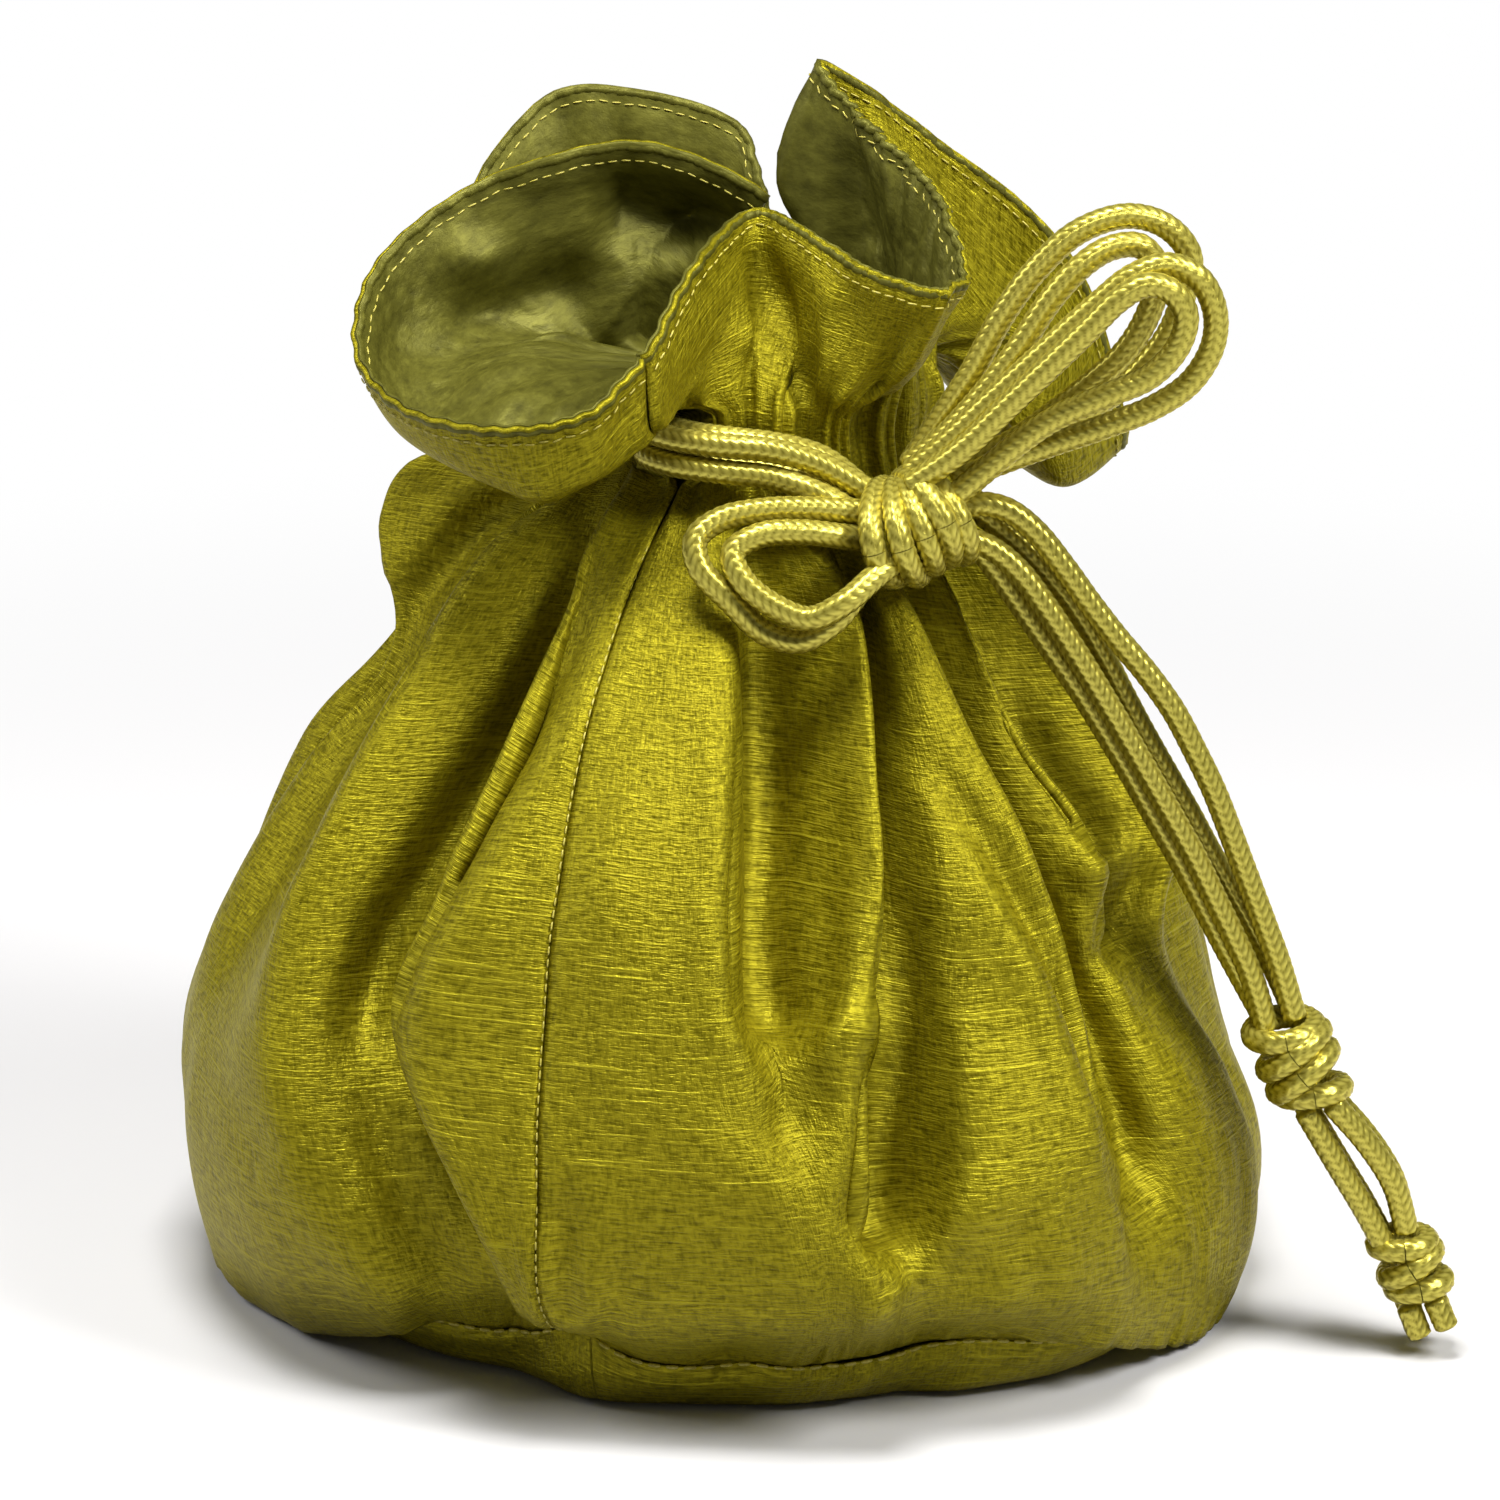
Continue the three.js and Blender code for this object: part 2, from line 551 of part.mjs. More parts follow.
// A knot: wraps of cord side by side, drawn tight into one lump
function knotGeometry({ length, radius, wraps, centre, axis }) {
  const endTaper = 0.12;
  const sides = 16;
  const profile = [new THREE.Vector2(0, -length / 2)];
  const pitch = length / wraps;
  const bulge = pitch / 2;
  for (let i = 0; i < wraps; i += 1) {
    const middle = -length / 2 + (i + 0.5) * pitch;
    const belly = radius * (1 - endTaper * (middle / (length / 2)) ** 2);
    for (const angle of [-70, -30, 30, 70]) {
      const turn = THREE.MathUtils.degToRad(angle);
      const point = new THREE.Vector2(Math.cos(turn), Math.sin(turn)).multiplyScalar(bulge);
      profile.push(point.add(new THREE.Vector2(belly - bulge, middle)));
    }
  }
  profile.push(new THREE.Vector2(0, length / 2));
  const direction = new THREE.Vector3(...axis).normalize();
  const turn = new THREE.Quaternion().setFromUnitVectors(new THREE.Vector3(0, 1, 0), direction);
  return new THREE.LatheGeometry(profile, sides).applyQuaternion(turn).translate(...centre);
}

const knots = {
  bow_knot: {
    length: 10.6, radius: 7.4, wraps: 3,
    centre: [27.2, -33.5, 126.4], axis: [1, 0, 0],
  },
  tail_knot_upper: {
    length: 13, radius: 6.4, wraps: 4,
    centre: [84.2, -37, 45.9], axis: [0.42, -0.05, -0.9],
  },
  tail_knot_lower: {
    length: 10.6, radius: 5.4, wraps: 3,
    centre: [101.6, -37, 14.1], axis: [0.34, 0, -0.94],
  },
};

const silk = new THREE.Color(0x8a7d16);
const satin = new THREE.Color(0x8c8630);
const braid = new THREE.Color(0x9a8b32);
const silkRoughness = 0.55;
const satinRoughness = 0.4;
const braidRoughness = 0.45;

function piece(name, geometry, color, roughness) {
  const mesh = new THREE.Mesh(geometry, new THREE.MeshStandardMaterial({ color, roughness, metalness: 0 }));
  mesh.name = name;
  return mesh;
}

const basePanel = dishGeometry(baseLayer(0), baseLayer(silkWall));
const baseLining = dishGeometry(baseLayer(liningFace), baseLayer(liningBack));

const pouch = new THREE.Group();
pouch.add(piece('outer_panel_right', silkPanel(0, backSeam), silk, silkRoughness));
pouch.add(piece('outer_panel_left', silkPanel(backSeam, folds.length), silk, silkRoughness));
pouch.add(piece('base_panel', basePanel, silk, silkRoughness));
pouch.add(piece('lining_panel_right', liningPanel(0, backSeam), satin, satinRoughness));
pouch.add(piece('lining_panel_left', liningPanel(backSeam, folds.length), satin, satinRoughness));
pouch.add(piece('lining_base', baseLining, satin, satinRoughness));
pouch.add(piece('casing_cord_upper', ringCord(leadUpper), braid, braidRoughness));
pouch.add(piece('casing_cord_lower', ringCord(leadLower), braid, braidRoughness));
for (const [name, points] of Object.entries(cordRoutes)) {
  pouch.add(piece(name, freeCord(points), braid, braidRoughness));
}
for (const [name, knot] of Object.entries(knots)) {
  pouch.add(piece(name, knotGeometry(knot), braid, braidRoughness));
}

export default pouch;
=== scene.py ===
import math

import bmesh
import bpy
import numpy as np
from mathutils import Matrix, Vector


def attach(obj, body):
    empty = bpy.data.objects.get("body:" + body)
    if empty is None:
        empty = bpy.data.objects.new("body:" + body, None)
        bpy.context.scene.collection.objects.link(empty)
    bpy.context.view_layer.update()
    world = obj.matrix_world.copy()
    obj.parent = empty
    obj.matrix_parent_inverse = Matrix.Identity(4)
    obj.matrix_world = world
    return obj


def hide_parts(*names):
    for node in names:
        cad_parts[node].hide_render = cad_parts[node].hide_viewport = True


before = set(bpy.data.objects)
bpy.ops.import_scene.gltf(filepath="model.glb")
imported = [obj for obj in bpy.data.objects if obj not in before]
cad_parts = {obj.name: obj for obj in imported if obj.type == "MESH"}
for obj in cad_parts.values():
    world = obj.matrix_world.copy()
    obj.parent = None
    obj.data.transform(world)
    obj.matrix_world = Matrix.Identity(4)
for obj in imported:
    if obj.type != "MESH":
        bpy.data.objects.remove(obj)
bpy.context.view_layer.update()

mm = 0.001


# Camera, at the photograph's viewing angle
cameraSetup = {
    "target": (0.004, 0.0, 0.082),
    "distance": 1.0,
    "elevation": 17.0,
    "lens": 160.0,
    "sensor": 36.0,
    "imageSize": 1500.0,
    "clip": (0.05, 50),
}


def makeCamera():
    elevation = math.radians(cameraSetup["elevation"])
    back = Vector((0, -math.cos(elevation), math.sin(elevation)))
    camera = bpy.data.objects.new("camera", bpy.data.cameras.new("camera"))
    bpy.context.scene.collection.objects.link(camera)
    camera.location = Vector(cameraSetup["target"]) + back * cameraSetup["distance"]
    camera.rotation_euler = (math.pi / 2 - elevation, 0, 0)
    camera.data.lens = cameraSetup["lens"]
    camera.data.sensor_width = cameraSetup["sensor"]
    camera.data.clip_start, camera.data.clip_end = cameraSetup["clip"]
    bpy.context.scene.camera = camera


# Where points in millimetres fall in the photograph's frame
def pictureCoordinates(points):
    elevation = math.radians(cameraSetup["elevation"])
    forward = np.array([0, math.cos(elevation), -math.sin(elevation)])
    up = np.array([0, math.sin(elevation), math.cos(elevation)])
    size = cameraSetup["imageSize"]
    focal = size * cameraSetup["lens"] / cameraSetup["sensor"]
    target = np.array(cameraSetup["target"]) / mm
    away = points - (target - forward * cameraSetup["distance"] / mm)
    depth = away @ forward
    return size / 2 + focal * away[..., 0] / depth, size / 2 - focal * (away @ up) / depth


makeCamera()
bpy.context.scene.view_settings.view_transform = "Standard"
print("camera: ready")


# Curves and meshes
touching = 1e-4  # control points nearer than this count as one
nearlyUpright = 0.1
wavePitches = (0.7, 1.8)


# The centripetal curve between the middle two of four arrays of points
def blend(four, share):
    p0, p1, p2, p3 = four
    gaps = [np.sum((b - a) ** 2, -1, keepdims=True) ** 0.25 for a, b in zip(four, four[1:])]
    middle = np.where(gaps[1] < touching, 1.0, gaps[1])
    first = np.where(gaps[0] < touching, middle, gaps[0])
    last = np.where(gaps[2] < touching, middle, gaps[2])
    start = ((p1 - p0) / first - (p2 - p0) / (first + middle) + (p2 - p1) / middle) * middle
    end = ((p2 - p1) / middle - (p3 - p1) / (middle + last) + (p3 - p2) / last) * middle
    square = -3 * p1 + 3 * p2 - 2 * start - end
    cube = 2 * p1 - 2 * p2 + start + end
    return p1 + start * share + square * share ** 2 + cube * share ** 3


# Points of an open curve at places counted in its control points
def catmullRom(points, at):
    points = np.asarray(points, float)
    at = np.asarray(at, float)
    before = 2 * points[0] - points[1]
    after = 2 * points[-1] - points[-2]
    padded = np.concatenate([[before], points, [after]])
    whole = np.clip(np.floor(at).astype(int), 0, len(points) - 2)
    share = (at - whole).reshape((-1,) + (1,) * (points.ndim - 1))
    return blend([padded[whole + k] for k in range(4)], share)


def distanceAlong(line):
    return np.concatenate([[0], np.cumsum(np.linalg.norm(np.diff(line, axis=0), axis=1))])


# Values given along a line, read at other distances along it
def valuesAt(at, travelled, values):
    return np.stack([np.interp(at, travelled, values[:, k]) for k in range(3)], 1)


# The same line with points one step apart along it
def evenly(points, step):
    travelled = distanceAlong(points)
    count = max(2, int(round(travelled[-1] / step)))
    return valuesAt(np.linspace(0, travelled[-1], count + 1), travelled, points)


def smoothstep(value, low, high):
    share = np.clip((value - low) / (high - low), 0, 1)
    return share * share * (3 - 2 * share)


def bumpBetween(value, start, full, until, end):
    return smoothstep(value, start, full) * (1 - smoothstep(value, until, end))


def mixed(low, high, share):
    return low + (high - low) * share


# Soft irregular waves of about one unit, the same on every run
def ripples(x, y, seed, count=9):
    rng = np.random.default_rng(seed)
    total = np.zeros(np.broadcast(x, y).shape)
    for _ in range(count):
        angle, phase = rng.uniform(0, 2 * math.pi, 2)
        pitch = rng.uniform(*wavePitches)
        wave = (x * math.cos(angle) + y * math.sin(angle)) * pitch * 2 * math.pi
        total = total + np.sin(wave + phase)
    return total / math.sqrt(count)


# A mesh in metres from points in millimetres, on the pouch's body
def meshObject(name, points, faces, material, uvs=None):
    mesh = bpy.data.meshes.new(name)
    mesh.from_pydata((np.asarray(points) * mm).tolist(), [], faces)
    mesh.validate()
    mesh.polygons.foreach_set("use_smooth", [True] * len(mesh.polygons))
    if uvs is not None:
        layer = mesh.uv_layers.new(name="UVMap")
        corners = np.zeros(len(mesh.loops), int)
        mesh.loops.foreach_get("vertex_index", corners)
        layer.data.foreach_set("uv", np.asarray(uvs, float)[corners].astype(np.float32).ravel())
    mesh.materials.append(material)
    made = bpy.data.objects.new(name, mesh)
    bpy.context.scene.collection.objects.link(made)
    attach(made, "root")
    return made


# Faces of a grid of points, row by row, wound so that along x up faces out
def gridFaces(height, width, closedAround=False):
    across = width if closedAround else width - 1
    rows, columns = np.meshgrid(np.arange(height - 1), np.arange(across), indexing="ij")
    nextColumn = (columns + 1) % width
    corners = [rows * width + columns, rows * width + nextColumn,
               (rows + 1) * width + nextColumn, (rows + 1) * width + columns]
    return np.stack(corners, -1).reshape(-1, 4).tolist()


# Two directions across a line at each of its points, carried along without twist
def tubeFrames(line):
    tangents = np.gradient(line, axis=0)
    tangents /= np.linalg.norm(tangents, axis=1, keepdims=True)
    side = np.cross(tangents[0], [0.0, 0.0, 1.0])
    if np.linalg.norm(side) < nearlyUpright:
        side = np.cross(tangents[0], [0.0, 1.0, 0.0])
    sides = []
    for tangent in tangents:
        side = side - tangent * np.dot(side, tangent)
        side /= np.linalg.norm(side)
        sides.append(side)
    sides = np.array(sides)
    return sides, np.cross(tangents, sides)


# The turn that brings the far end of a closed line's frame back to its start
def closingTwist(line, sides):
    last = np.cross(line[-1] - line[-2], sides[-1])
    last /= np.linalg.norm(last)
    return math.atan2(np.dot(sides[0], last), np.dot(sides[0], sides[-1]))


def tubePoints(line, sides, ups, theta, radius):
    return line[:, None, :] + (sides[:, None, :] * np.cos(theta)[..., None]
                               + ups[:, None, :] * np.sin(theta)[..., None]) * radius[..., None]


# Materials: plain values go straight to the shader's sockets
def newMaterial(name, plain):
    material = bpy.data.materials.new(name)
    material.use_nodes = True
    shader = material.node_tree.nodes["Principled BSDF"]
    for socket, value in plain.items():
        shader.inputs[socket].default_value = value
    return material, material.node_tree, shader


def newGroup(name, inputs, outputs):
    group = bpy.data.node_groups.new(name, "ShaderNodeTree")
    for direction, sockets in (("INPUT", inputs), ("OUTPUT", outputs)):
        for socketName, kind in sockets:
            group.interface.new_socket(socketName, in_out=direction, socket_type=kind)
    return group, group.nodes.new("NodeGroupInput"), group.nodes.new("NodeGroupOutput")


def addMath(tree, operation, a, b):
    node = tree.nodes.new("ShaderNodeMath")
    node.operation = operation
    for i, value in enumerate((a, b)):
        if isinstance(value, (int, float)):
            node.inputs[i].default_value = value
        else:
            tree.links.new(value, node.inputs[i])
    return node.outputs[0]


# The sum of values, each with its own weight
def addWeighted(tree, parts):
    total = None
    for value, weight in parts:
        part = addMath(tree, "MULTIPLY", value, weight)
        total = part if total is None else addMath(tree, "ADD", total, part)
    return total


seedSlant = 0.37


# Noise stretched along an axis: scale gives features per metre each way
def addStretchedNoise(tree, vector, scale, detail, roughness, seed):
    mapping = tree.nodes.new("ShaderNodeMapping")
    mapping.inputs["Scale"].default_value = scale
    mapping.inputs["Location"].default_value = (seed, seed * seedSlant, 0)
    tree.links.new(vector, mapping.inputs["Vector"])
    noise = tree.nodes.new("ShaderNodeTexNoise")
    noise.inputs["Scale"].default_value = 1.0
    noise.inputs["Detail"].default_value = detail
    noise.inputs["Roughness"].default_value = roughness
    tree.links.new(mapping.outputs[0], noise.inputs["Vector"])
    return noise.outputs["Fac"]


def addRamp(tree, value, stops):
    ramp = tree.nodes.new("ShaderNodeValToRGB")
    elements = ramp.color_ramp.elements
    elements[0].position, elements[0].color = stops[0][0], (*stops[0][1], 1)
    elements[1].position, elements[1].color = stops[-1][0], (*stops[-1][1], 1)
    for position, color in stops[1:-1]:
        elements.new(position).color = (*color, 1)
    tree.links.new(value, ramp.inputs[0])
    return ramp.outputs[0]


def addBump(tree, height, strength, distance):
    bump = tree.nodes.new("ShaderNodeBump")
    bump.inputs["Strength"].default_value = strength
    bump.inputs["Distance"].default_value = distance
    tree.links.new(height, bump.inputs["Height"])
    return bump.outputs[0]


def mixColors(tree, factor, a, b):
    mix = tree.nodes.new("ShaderNodeMix")
    mix.data_type = "RGBA"
    tree.links.new(factor, mix.inputs["Factor"])
    for value, socket in ((a, mix.inputs[6]), (b, mix.inputs[7])):
        if isinstance(value, tuple):
            socket.default_value = (*value, 1)
        else:
            tree.links.new(value, socket)
    return mix.outputs[2]


# Patterns on cloth and cord follow the piece's own map, in metres
def surfaceMap(tree):
    coordinates = tree.nodes.new("ShaderNodeUVMap")
    coordinates.uv_map = "UVMap"
    return coordinates.outputs[0]


weaveNoise = {
    "weft": {"scale": (520, 2300, 1), "detail": 2.0, "roughness": 0.65, "seed": 3.0},
    "warp": {"scale": (2200, 420, 1), "detail": 2.0, "roughness": 0.65, "seed": 11.0},
    "slub": {"scale": (75, 1300, 1), "detail": 1.0, "roughness": 0.5, "seed": 7.0},
    "crimp": {"scale": (900, 900, 1), "detail": 3.0, "roughness": 0.6, "seed": 23.0},
    "clouds": {"scale": (26, 60, 1), "detail": 3.0, "roughness": 0.55, "seed": 31.0},
}
weaveHeights = {"weft": 0.6, "warp": 0.4, "slub": 0.2, "crimp": 0.22}
slubCut = {"from": 0.62, "gain": 8.0}


# Crossed uneven threads: a height, a mask of slubs and a mask of cloudy wear
def makeWeaveGroup():
    group, given, out = newGroup(
        "crossedThreads",
        [("Vector", "NodeSocketVector")],
        [("Height", "NodeSocketFloat"), ("Slubs", "NodeSocketFloat"), ("Clouds", "NodeSocketFloat")])
    vector = given.outputs["Vector"]
    parts = {kind: addStretchedNoise(group, vector, **noise) for kind, noise in weaveNoise.items()}
    slubs = addMath(group, "SUBTRACT", parts["slub"], slubCut["from"])
    slubs = addMath(group, "MULTIPLY", slubs, slubCut["gain"])
    slubs = addMath(group, "MAXIMUM", addMath(group, "MINIMUM", slubs, 1.0), 0.0)
    parts["slub"] = slubs
    height = addWeighted(group, [(parts[kind], weight) for kind, weight in weaveHeights.items()])
    group.links.new(height, out.inputs["Height"])
    group.links.new(slubs, out.inputs["Slubs"])
    group.links.new(parts["clouds"], out.inputs["Clouds"])
    return group


silkLook = {
    "colors": [(0.34, (0.055, 0.047, 0.001)), (0.5, (0.16, 0.136, 0.0024)), (0.7, (0.37, 0.315, 0.012))],
    "slub": (0.46, 0.4, 0.018),
    "slubShare": 0.45,
    "roughness": 0.29,
    "cloudiness": 0.22,
    "bump": (1.0, 0.0005),
    "plain": {"Metallic": 0.42, "Specular IOR Level": 0.35, "Specular Tint": (0.85, 0.78, 0.2, 1)},
}


def makeSilk():
    material, tree, shader = newMaterial("silk", silkLook["plain"])
    weave = tree.nodes.new("ShaderNodeGroup")
    weave.node_tree = makeWeaveGroup()
    tree.links.new(surfaceMap(tree), weave.inputs["Vector"])
    color = addRamp(tree, weave.outputs["Height"], silkLook["colors"])
    slubs = addMath(tree, "MULTIPLY", weave.outputs["Slubs"], silkLook["slubShare"])
    tree.links.new(mixColors(tree, slubs, color, silkLook["slub"]), shader.inputs["Base Color"])
    tree.links.new(addBump(tree, weave.outputs["Height"], *silkLook["bump"]), shader.inputs["Normal"])
    clouds = addMath(tree, "MULTIPLY", weave.outputs["Clouds"], silkLook["cloudiness"])
    tree.links.new(addMath(tree, "ADD", clouds, silkLook["roughness"]), shader.inputs["Roughness"])
    return material


satinLook = {
    "colors": [(0.4, (0.06, 0.056, 0.007)), (0.65, (0.12, 0.113, 0.015)), (0.9, (0.19, 0.18, 0.027))],
    "fine": {"scale": (650, 900, 1), "detail": 3.0, "roughness": 0.65, "seed": 5.0},
    "crinkle": {"scale": (260, 420, 1), "detail": 4.0, "roughness": 0.6, "seed": 13.0},
    "weights": {"fine": 0.5, "crinkle": 0.8},
    "bump": (0.5, 0.0004),
    "plain": {"Roughness": 0.46, "Metallic": 0.3, "Specular IOR Level": 0.35,
              "Specular Tint": (0.85, 0.83, 0.45, 1)},
}


def makeSatin():
    material, tree, shader = newMaterial("lining_satin", satinLook["plain"])
    vector = surfaceMap(tree)
    height = addWeighted(tree, [(addStretchedNoise(tree, vector, **satinLook[kind]), weight)
                                for kind, weight in satinLook["weights"].items()])
    tree.links.new(addRamp(tree, height, satinLook["colors"]), shader.inputs["Base Color"])
    tree.links.new(addBump(tree, height, *satinLook["bump"]), shader.inputs["Normal"])
    return material


braidLook = {
    "colors": [(0.15, (0.2, 0.16, 0.008)), (0.8, (0.66, 0.58, 0.1))],
    "filaments": {"scale": (2600, 700, 1), "detail": 2.0, "roughness": 0.6, "seed": 3.0},
    "filamentShare": 0.35,
    # painted shade: this share of the cord's colour follows the grooves between strands
    "grooveShadeShare": 0.75,
    "bump": (0.4, 0.0001),
    "plain": {"Roughness": 0.27, "Metallic": 0.55, "Specular Tint": (1.0, 0.92, 0.5, 1)},
}


# Satin cord: the fine filaments run along each plaited strand; the colour is painted darker down in the
# grooves between strands and lighter on their tops, painted shade and painted light
def makeBraid():
    material, tree, shader = newMaterial("braided_cord", braidLook["plain"])
    filaments = addStretchedNoise(tree, surfaceMap(tree), **braidLook["filaments"])
    # painted shade: darker in the grooves between strands, lighter on the strands' tops
    grooveShade = tree.nodes.new("ShaderNodeAttribute")
    grooveShade.attribute_name = "grooveShade"
    tone = addWeighted(tree, [(filaments, braidLook["filamentShare"]),
                              (grooveShade.outputs["Fac"], braidLook["grooveShadeShare"])])
    tree.links.new(addRamp(tree, tone, braidLook["colors"]), shader.inputs["Base Color"])
    tree.links.new(addBump(tree, filaments, *braidLook["bump"]), shader.inputs["Normal"])
    return material


threadLook = {
    "colors": [(0.3, (0.46, 0.39, 0.04)), (0.7, (0.74, 0.65, 0.13))],
    "twist": {"scale": (2500, 2500, 2500), "detail": 2.0, "roughness": 0.5, "seed": 1.0},
    "bump": (0.3, 0.00005),
    "plain": {"Roughness": 0.4},
}


def makeThread():
    material, tree, shader = newMaterial("thread", threadLook["plain"])
    coordinates = tree.nodes.new("ShaderNodeTexCoord")
    twist = addStretchedNoise(tree, coordinates.outputs["Object"], **threadLook["twist"])
    tree.links.new(addRamp(tree, twist, threadLook["colors"]), shader.inputs["Base Color"])
    tree.links.new(addBump(tree, twist, *threadLook["bump"]), shader.inputs["Normal"])
    return material


silk = makeSilk()
satin = makeSatin()
braid = makeBraid()
thread = makeThread()
print("materials: silk, satin, braid, thread")


# Cords, along the same points as the solids, in millimetres
leadUpper = 137.2
leadLower = 133.3
cordDiameter = 3.6

leadRoutes = {
    "lead_inner_upper": [
        [0, -16.5, leadUpper], [-3.5, -16.5, leadUpper], [-6.1, -19, leadUpper],
        [-6.1, -22.5, leadUpper], [-3.6, -25.1, leadUpper], [1.3, -26.9, leadUpper - 0.2],
        [8, -27.3, 136.2], [14.5, -27, 134.2], [21.2, -28.9, 129.4]],
    "lead_inner_lower": [
        [0, -16.5, leadLower], [-3.5, -16.5, leadLower], [-6.1, -19, leadLower],
        [-6.1, -22.5, leadLower], [-3.6, -25.1, leadLower], [1.3, -26.9, leadLower - 0.2],
        [8, -27.8, 132.3], [14.8, -29.6, 129.8], [20.9, -29.3, 124.9]],
    "lead_outer_upper": [
        [-9.2, -7.6, leadUpper], [-8.3, -11.2, leadUpper], [-9.3, -15.3, leadUpper],
        [-11, -21.2, leadUpper], [-7.2, -27.2, leadUpper], [0, -30.8, leadUpper - 0.2],
        [7.5, -31.6, 136.4], [14.2, -31.7, 134.4], [21.2, -32.9, 130.7]],
    "lead_outer_lower": [
        [-9.2, -7.6, leadLower], [-8.3, -11.2, leadLower], [-9.3, -15.3, leadLower],
        [-11, -21.2, leadLower], [-7.2, -27.2, leadLower], [0, -30.8, leadLower - 0.2],
        [7.5, -31.8, 132.4], [14.4, -33.7, 130.4], [20.9, -32.9, 126.6]],
}

loopRoutes = {
    "loop_a_outer": [
        [27, -27.7, 133.4], [30.2, -29, 138.8], [35.4, -32, 147.7], [39.8, -33, 156.5],
        [44.5, -33, 163.2], [50.6, -32.5, 168.7], [57.5, -31.5, 170.7], [63, -30.5, 169],
        [66.5, -29.5, 164.6], [65.9, -28.5, 159], [64, -27.5, 152.9], [58.9, -27, 146],
        [50, -26.5, 139.7], [40.7, -26.6, 134.5], [33.2, -27.6, 131.8]],
    "loop_a_inner": [
        [27, -31.6, 134.6], [32, -33.4, 139.2], [37.7, -35, 146.2], [42.4, -36, 153],
        [46.4, -36, 159.4], [50.6, -35.5, 164.1], [54.9, -34.5, 166.7], [59.2, -33.5, 166.8],
        [61.8, -32.5, 163.4], [61.1, -31.5, 157.8], [57.9, -31, 151.4], [51.9, -30.5, 145.4],
        [42.8, -30.5, 138.3], [33.3, -31.5, 133.2]],
    "loop_b_outer": [
        [27, -35.5, 134.4], [31.6, -37.2, 138.6], [38, -38.7, 145.3], [45.7, -39.5, 152.9],
        [53.5, -39.5, 160.2], [57.9, -39.5, 163.8], [62.7, -39, 165.3], [67.1, -38.5, 163.4],
        [69.6, -38, 158.7], [69.5, -37.5, 153.4], [66.5, -37, 147.9], [61.4, -36.5, 144.1],
        [54.6, -36, 141.2], [46, -35.2, 138], [33.3, -35.4, 133.2]],
    "loop_b_inner": [
        [27, -39.4, 133.4], [33.7, -41.2, 138.7], [40.7, -42.6, 146], [46.9, -43.5, 152.4],
        [51.8, -43.5, 157.3], [55.6, -43.5, 161.2], [59.4, -43, 163.3], [62.9, -42.5, 162.5],
        [65.3, -42, 158.9], [64.4, -41.5, 154.3], [60.5, -41, 149.7], [53.5, -40.5, 146.4],
        [45.8, -39.6, 142.4], [33.2, -39.3, 131.9]],
    "loop_left_outer": [
        [21.2, -36.8, 128.7], [12.5, -38, 129.5], [6.1, -39, 129.6], [-0.3, -40.5, 128.6],
        [-3.7, -42.5, 126.2], [-3.1, -44.5, 122.6], [1.2, -46, 118.2], [6.1, -46.5, 113.6],
        [11.1, -46.5, 112.4], [16, -45.5, 115], [20, -42.6, 119.2], [23.4, -39.6, 121.2]],
    "loop_left_inner": [
        [20.9, -37.2, 124.7], [16.8, -40.5, 126.2], [11.1, -42, 127.2], [5.4, -43, 127],
        [1.6, -44.5, 124.8], [3.2, -47, 121.2], [7.8, -48.5, 117.9], [12.4, -49, 116.4],
        [17, -48.7, 118.4], [22, -45.3, 121.8], [25.6, -41.9, 123.6]],
}

# Each tail runs from the bow through both knots to its tip
tailRoutes = {
    "tail_outer_front": [
        [32.9, -35.4, 128.6], [36.8, -35.5, 129.6], [40.8, -35.5, 128.7], [44.8, -35.7, 125.6],
        [48.8, -35.9, 120.6], [52.8, -36.1, 115], [56.8, -36.3, 109.8], [60.9, -36.5, 104.9],
        [64.9, -36.8, 99.3], [68.1, -37, 93.3], [71, -37.2, 87.3], [73.5, -37.4, 81], [76, -37.6, 74.4],
        [78.5, -37.8, 67.8], [80.9, -38, 61.3], [83.4, -38.1, 53]],
    "tail_outer_back": [
        [33.3, -31.5, 128.5], [36.8, -31.5, 127.3], [40.4, -31.5, 124.5], [44.3, -31.7, 121],
        [48.3, -31.9, 116.5], [51.9, -32.1, 111.5], [55, -32.3, 106.1], [58, -32.5, 100.2],
        [61.2, -32.8, 94.2], [64.4, -33, 88.5], [67.8, -33.2, 82.5], [71, -33.4, 76.5],
        [74.5, -33.6, 70.4], [77.8, -33.8, 64.5], [80.6, -34, 59.2], [83.4, -34.2, 53]],
    "tail_inner_front": [
        [32.9, -35.4, 124.2], [36.2, -35.5, 124.1], [39.5, -35.5, 122.4], [42.8, -35.7, 119.4],
        [46.5, -36, 114.4], [50.3, -36.2, 108.6], [54.1, -36.4, 102.4], [57.8, -36.6, 96.1],
        [61.4, -36.9, 89.8], [64.9, -37.1, 83.6], [68.3, -37.3, 77.5], [71.3, -37.5, 71.3],
        [74.1, -37.8, 65.6], [76.6, -38, 60.2], [79.4, -38.1, 51.3]],
    "tail_inner_back": [
        [33.4, -31.5, 124], [35.6, -31.5, 122.9], [38.5, -31.5, 120], [41.6, -31.7, 115.7],
        [45, -32, 110.7], [48.5, -32.2, 105.6], [52.1, -32.4, 100.3], [55.8, -32.6, 94.3],
        [59.5, -32.9, 88], [63, -33.1, 81.7], [66.5, -33.3, 75.6], [69.7, -33.5, 69.4],
        [72.6, -33.8, 63.8], [75.4, -34, 58.6], [79.4, -34.2, 51.3]],
}

strandRoutes = {
    "strand_left_front": [
        [85.3, -39.7, 38.9], [90.2, -39.5, 30.4], [94.2, -39.1, 23.6], [97.1, -38.9, 18.2]],
    "strand_left_back": [
        [85.3, -35.8, 38.9], [90.2, -35.5, 30.4], [94.2, -35.1, 23.6], [97.1, -35, 18.2]],
    "strand_right_front": [
        [89.2, -39.7, 40], [94.6, -39.5, 33.6], [98.6, -39.1, 27], [100.6, -38.9, 20.1]],
    "strand_right_back": [
        [89.2, -35.8, 40], [94.6, -35.5, 33.6], [98.6, -35.1, 27], [100.6, -35, 20.1]],
}

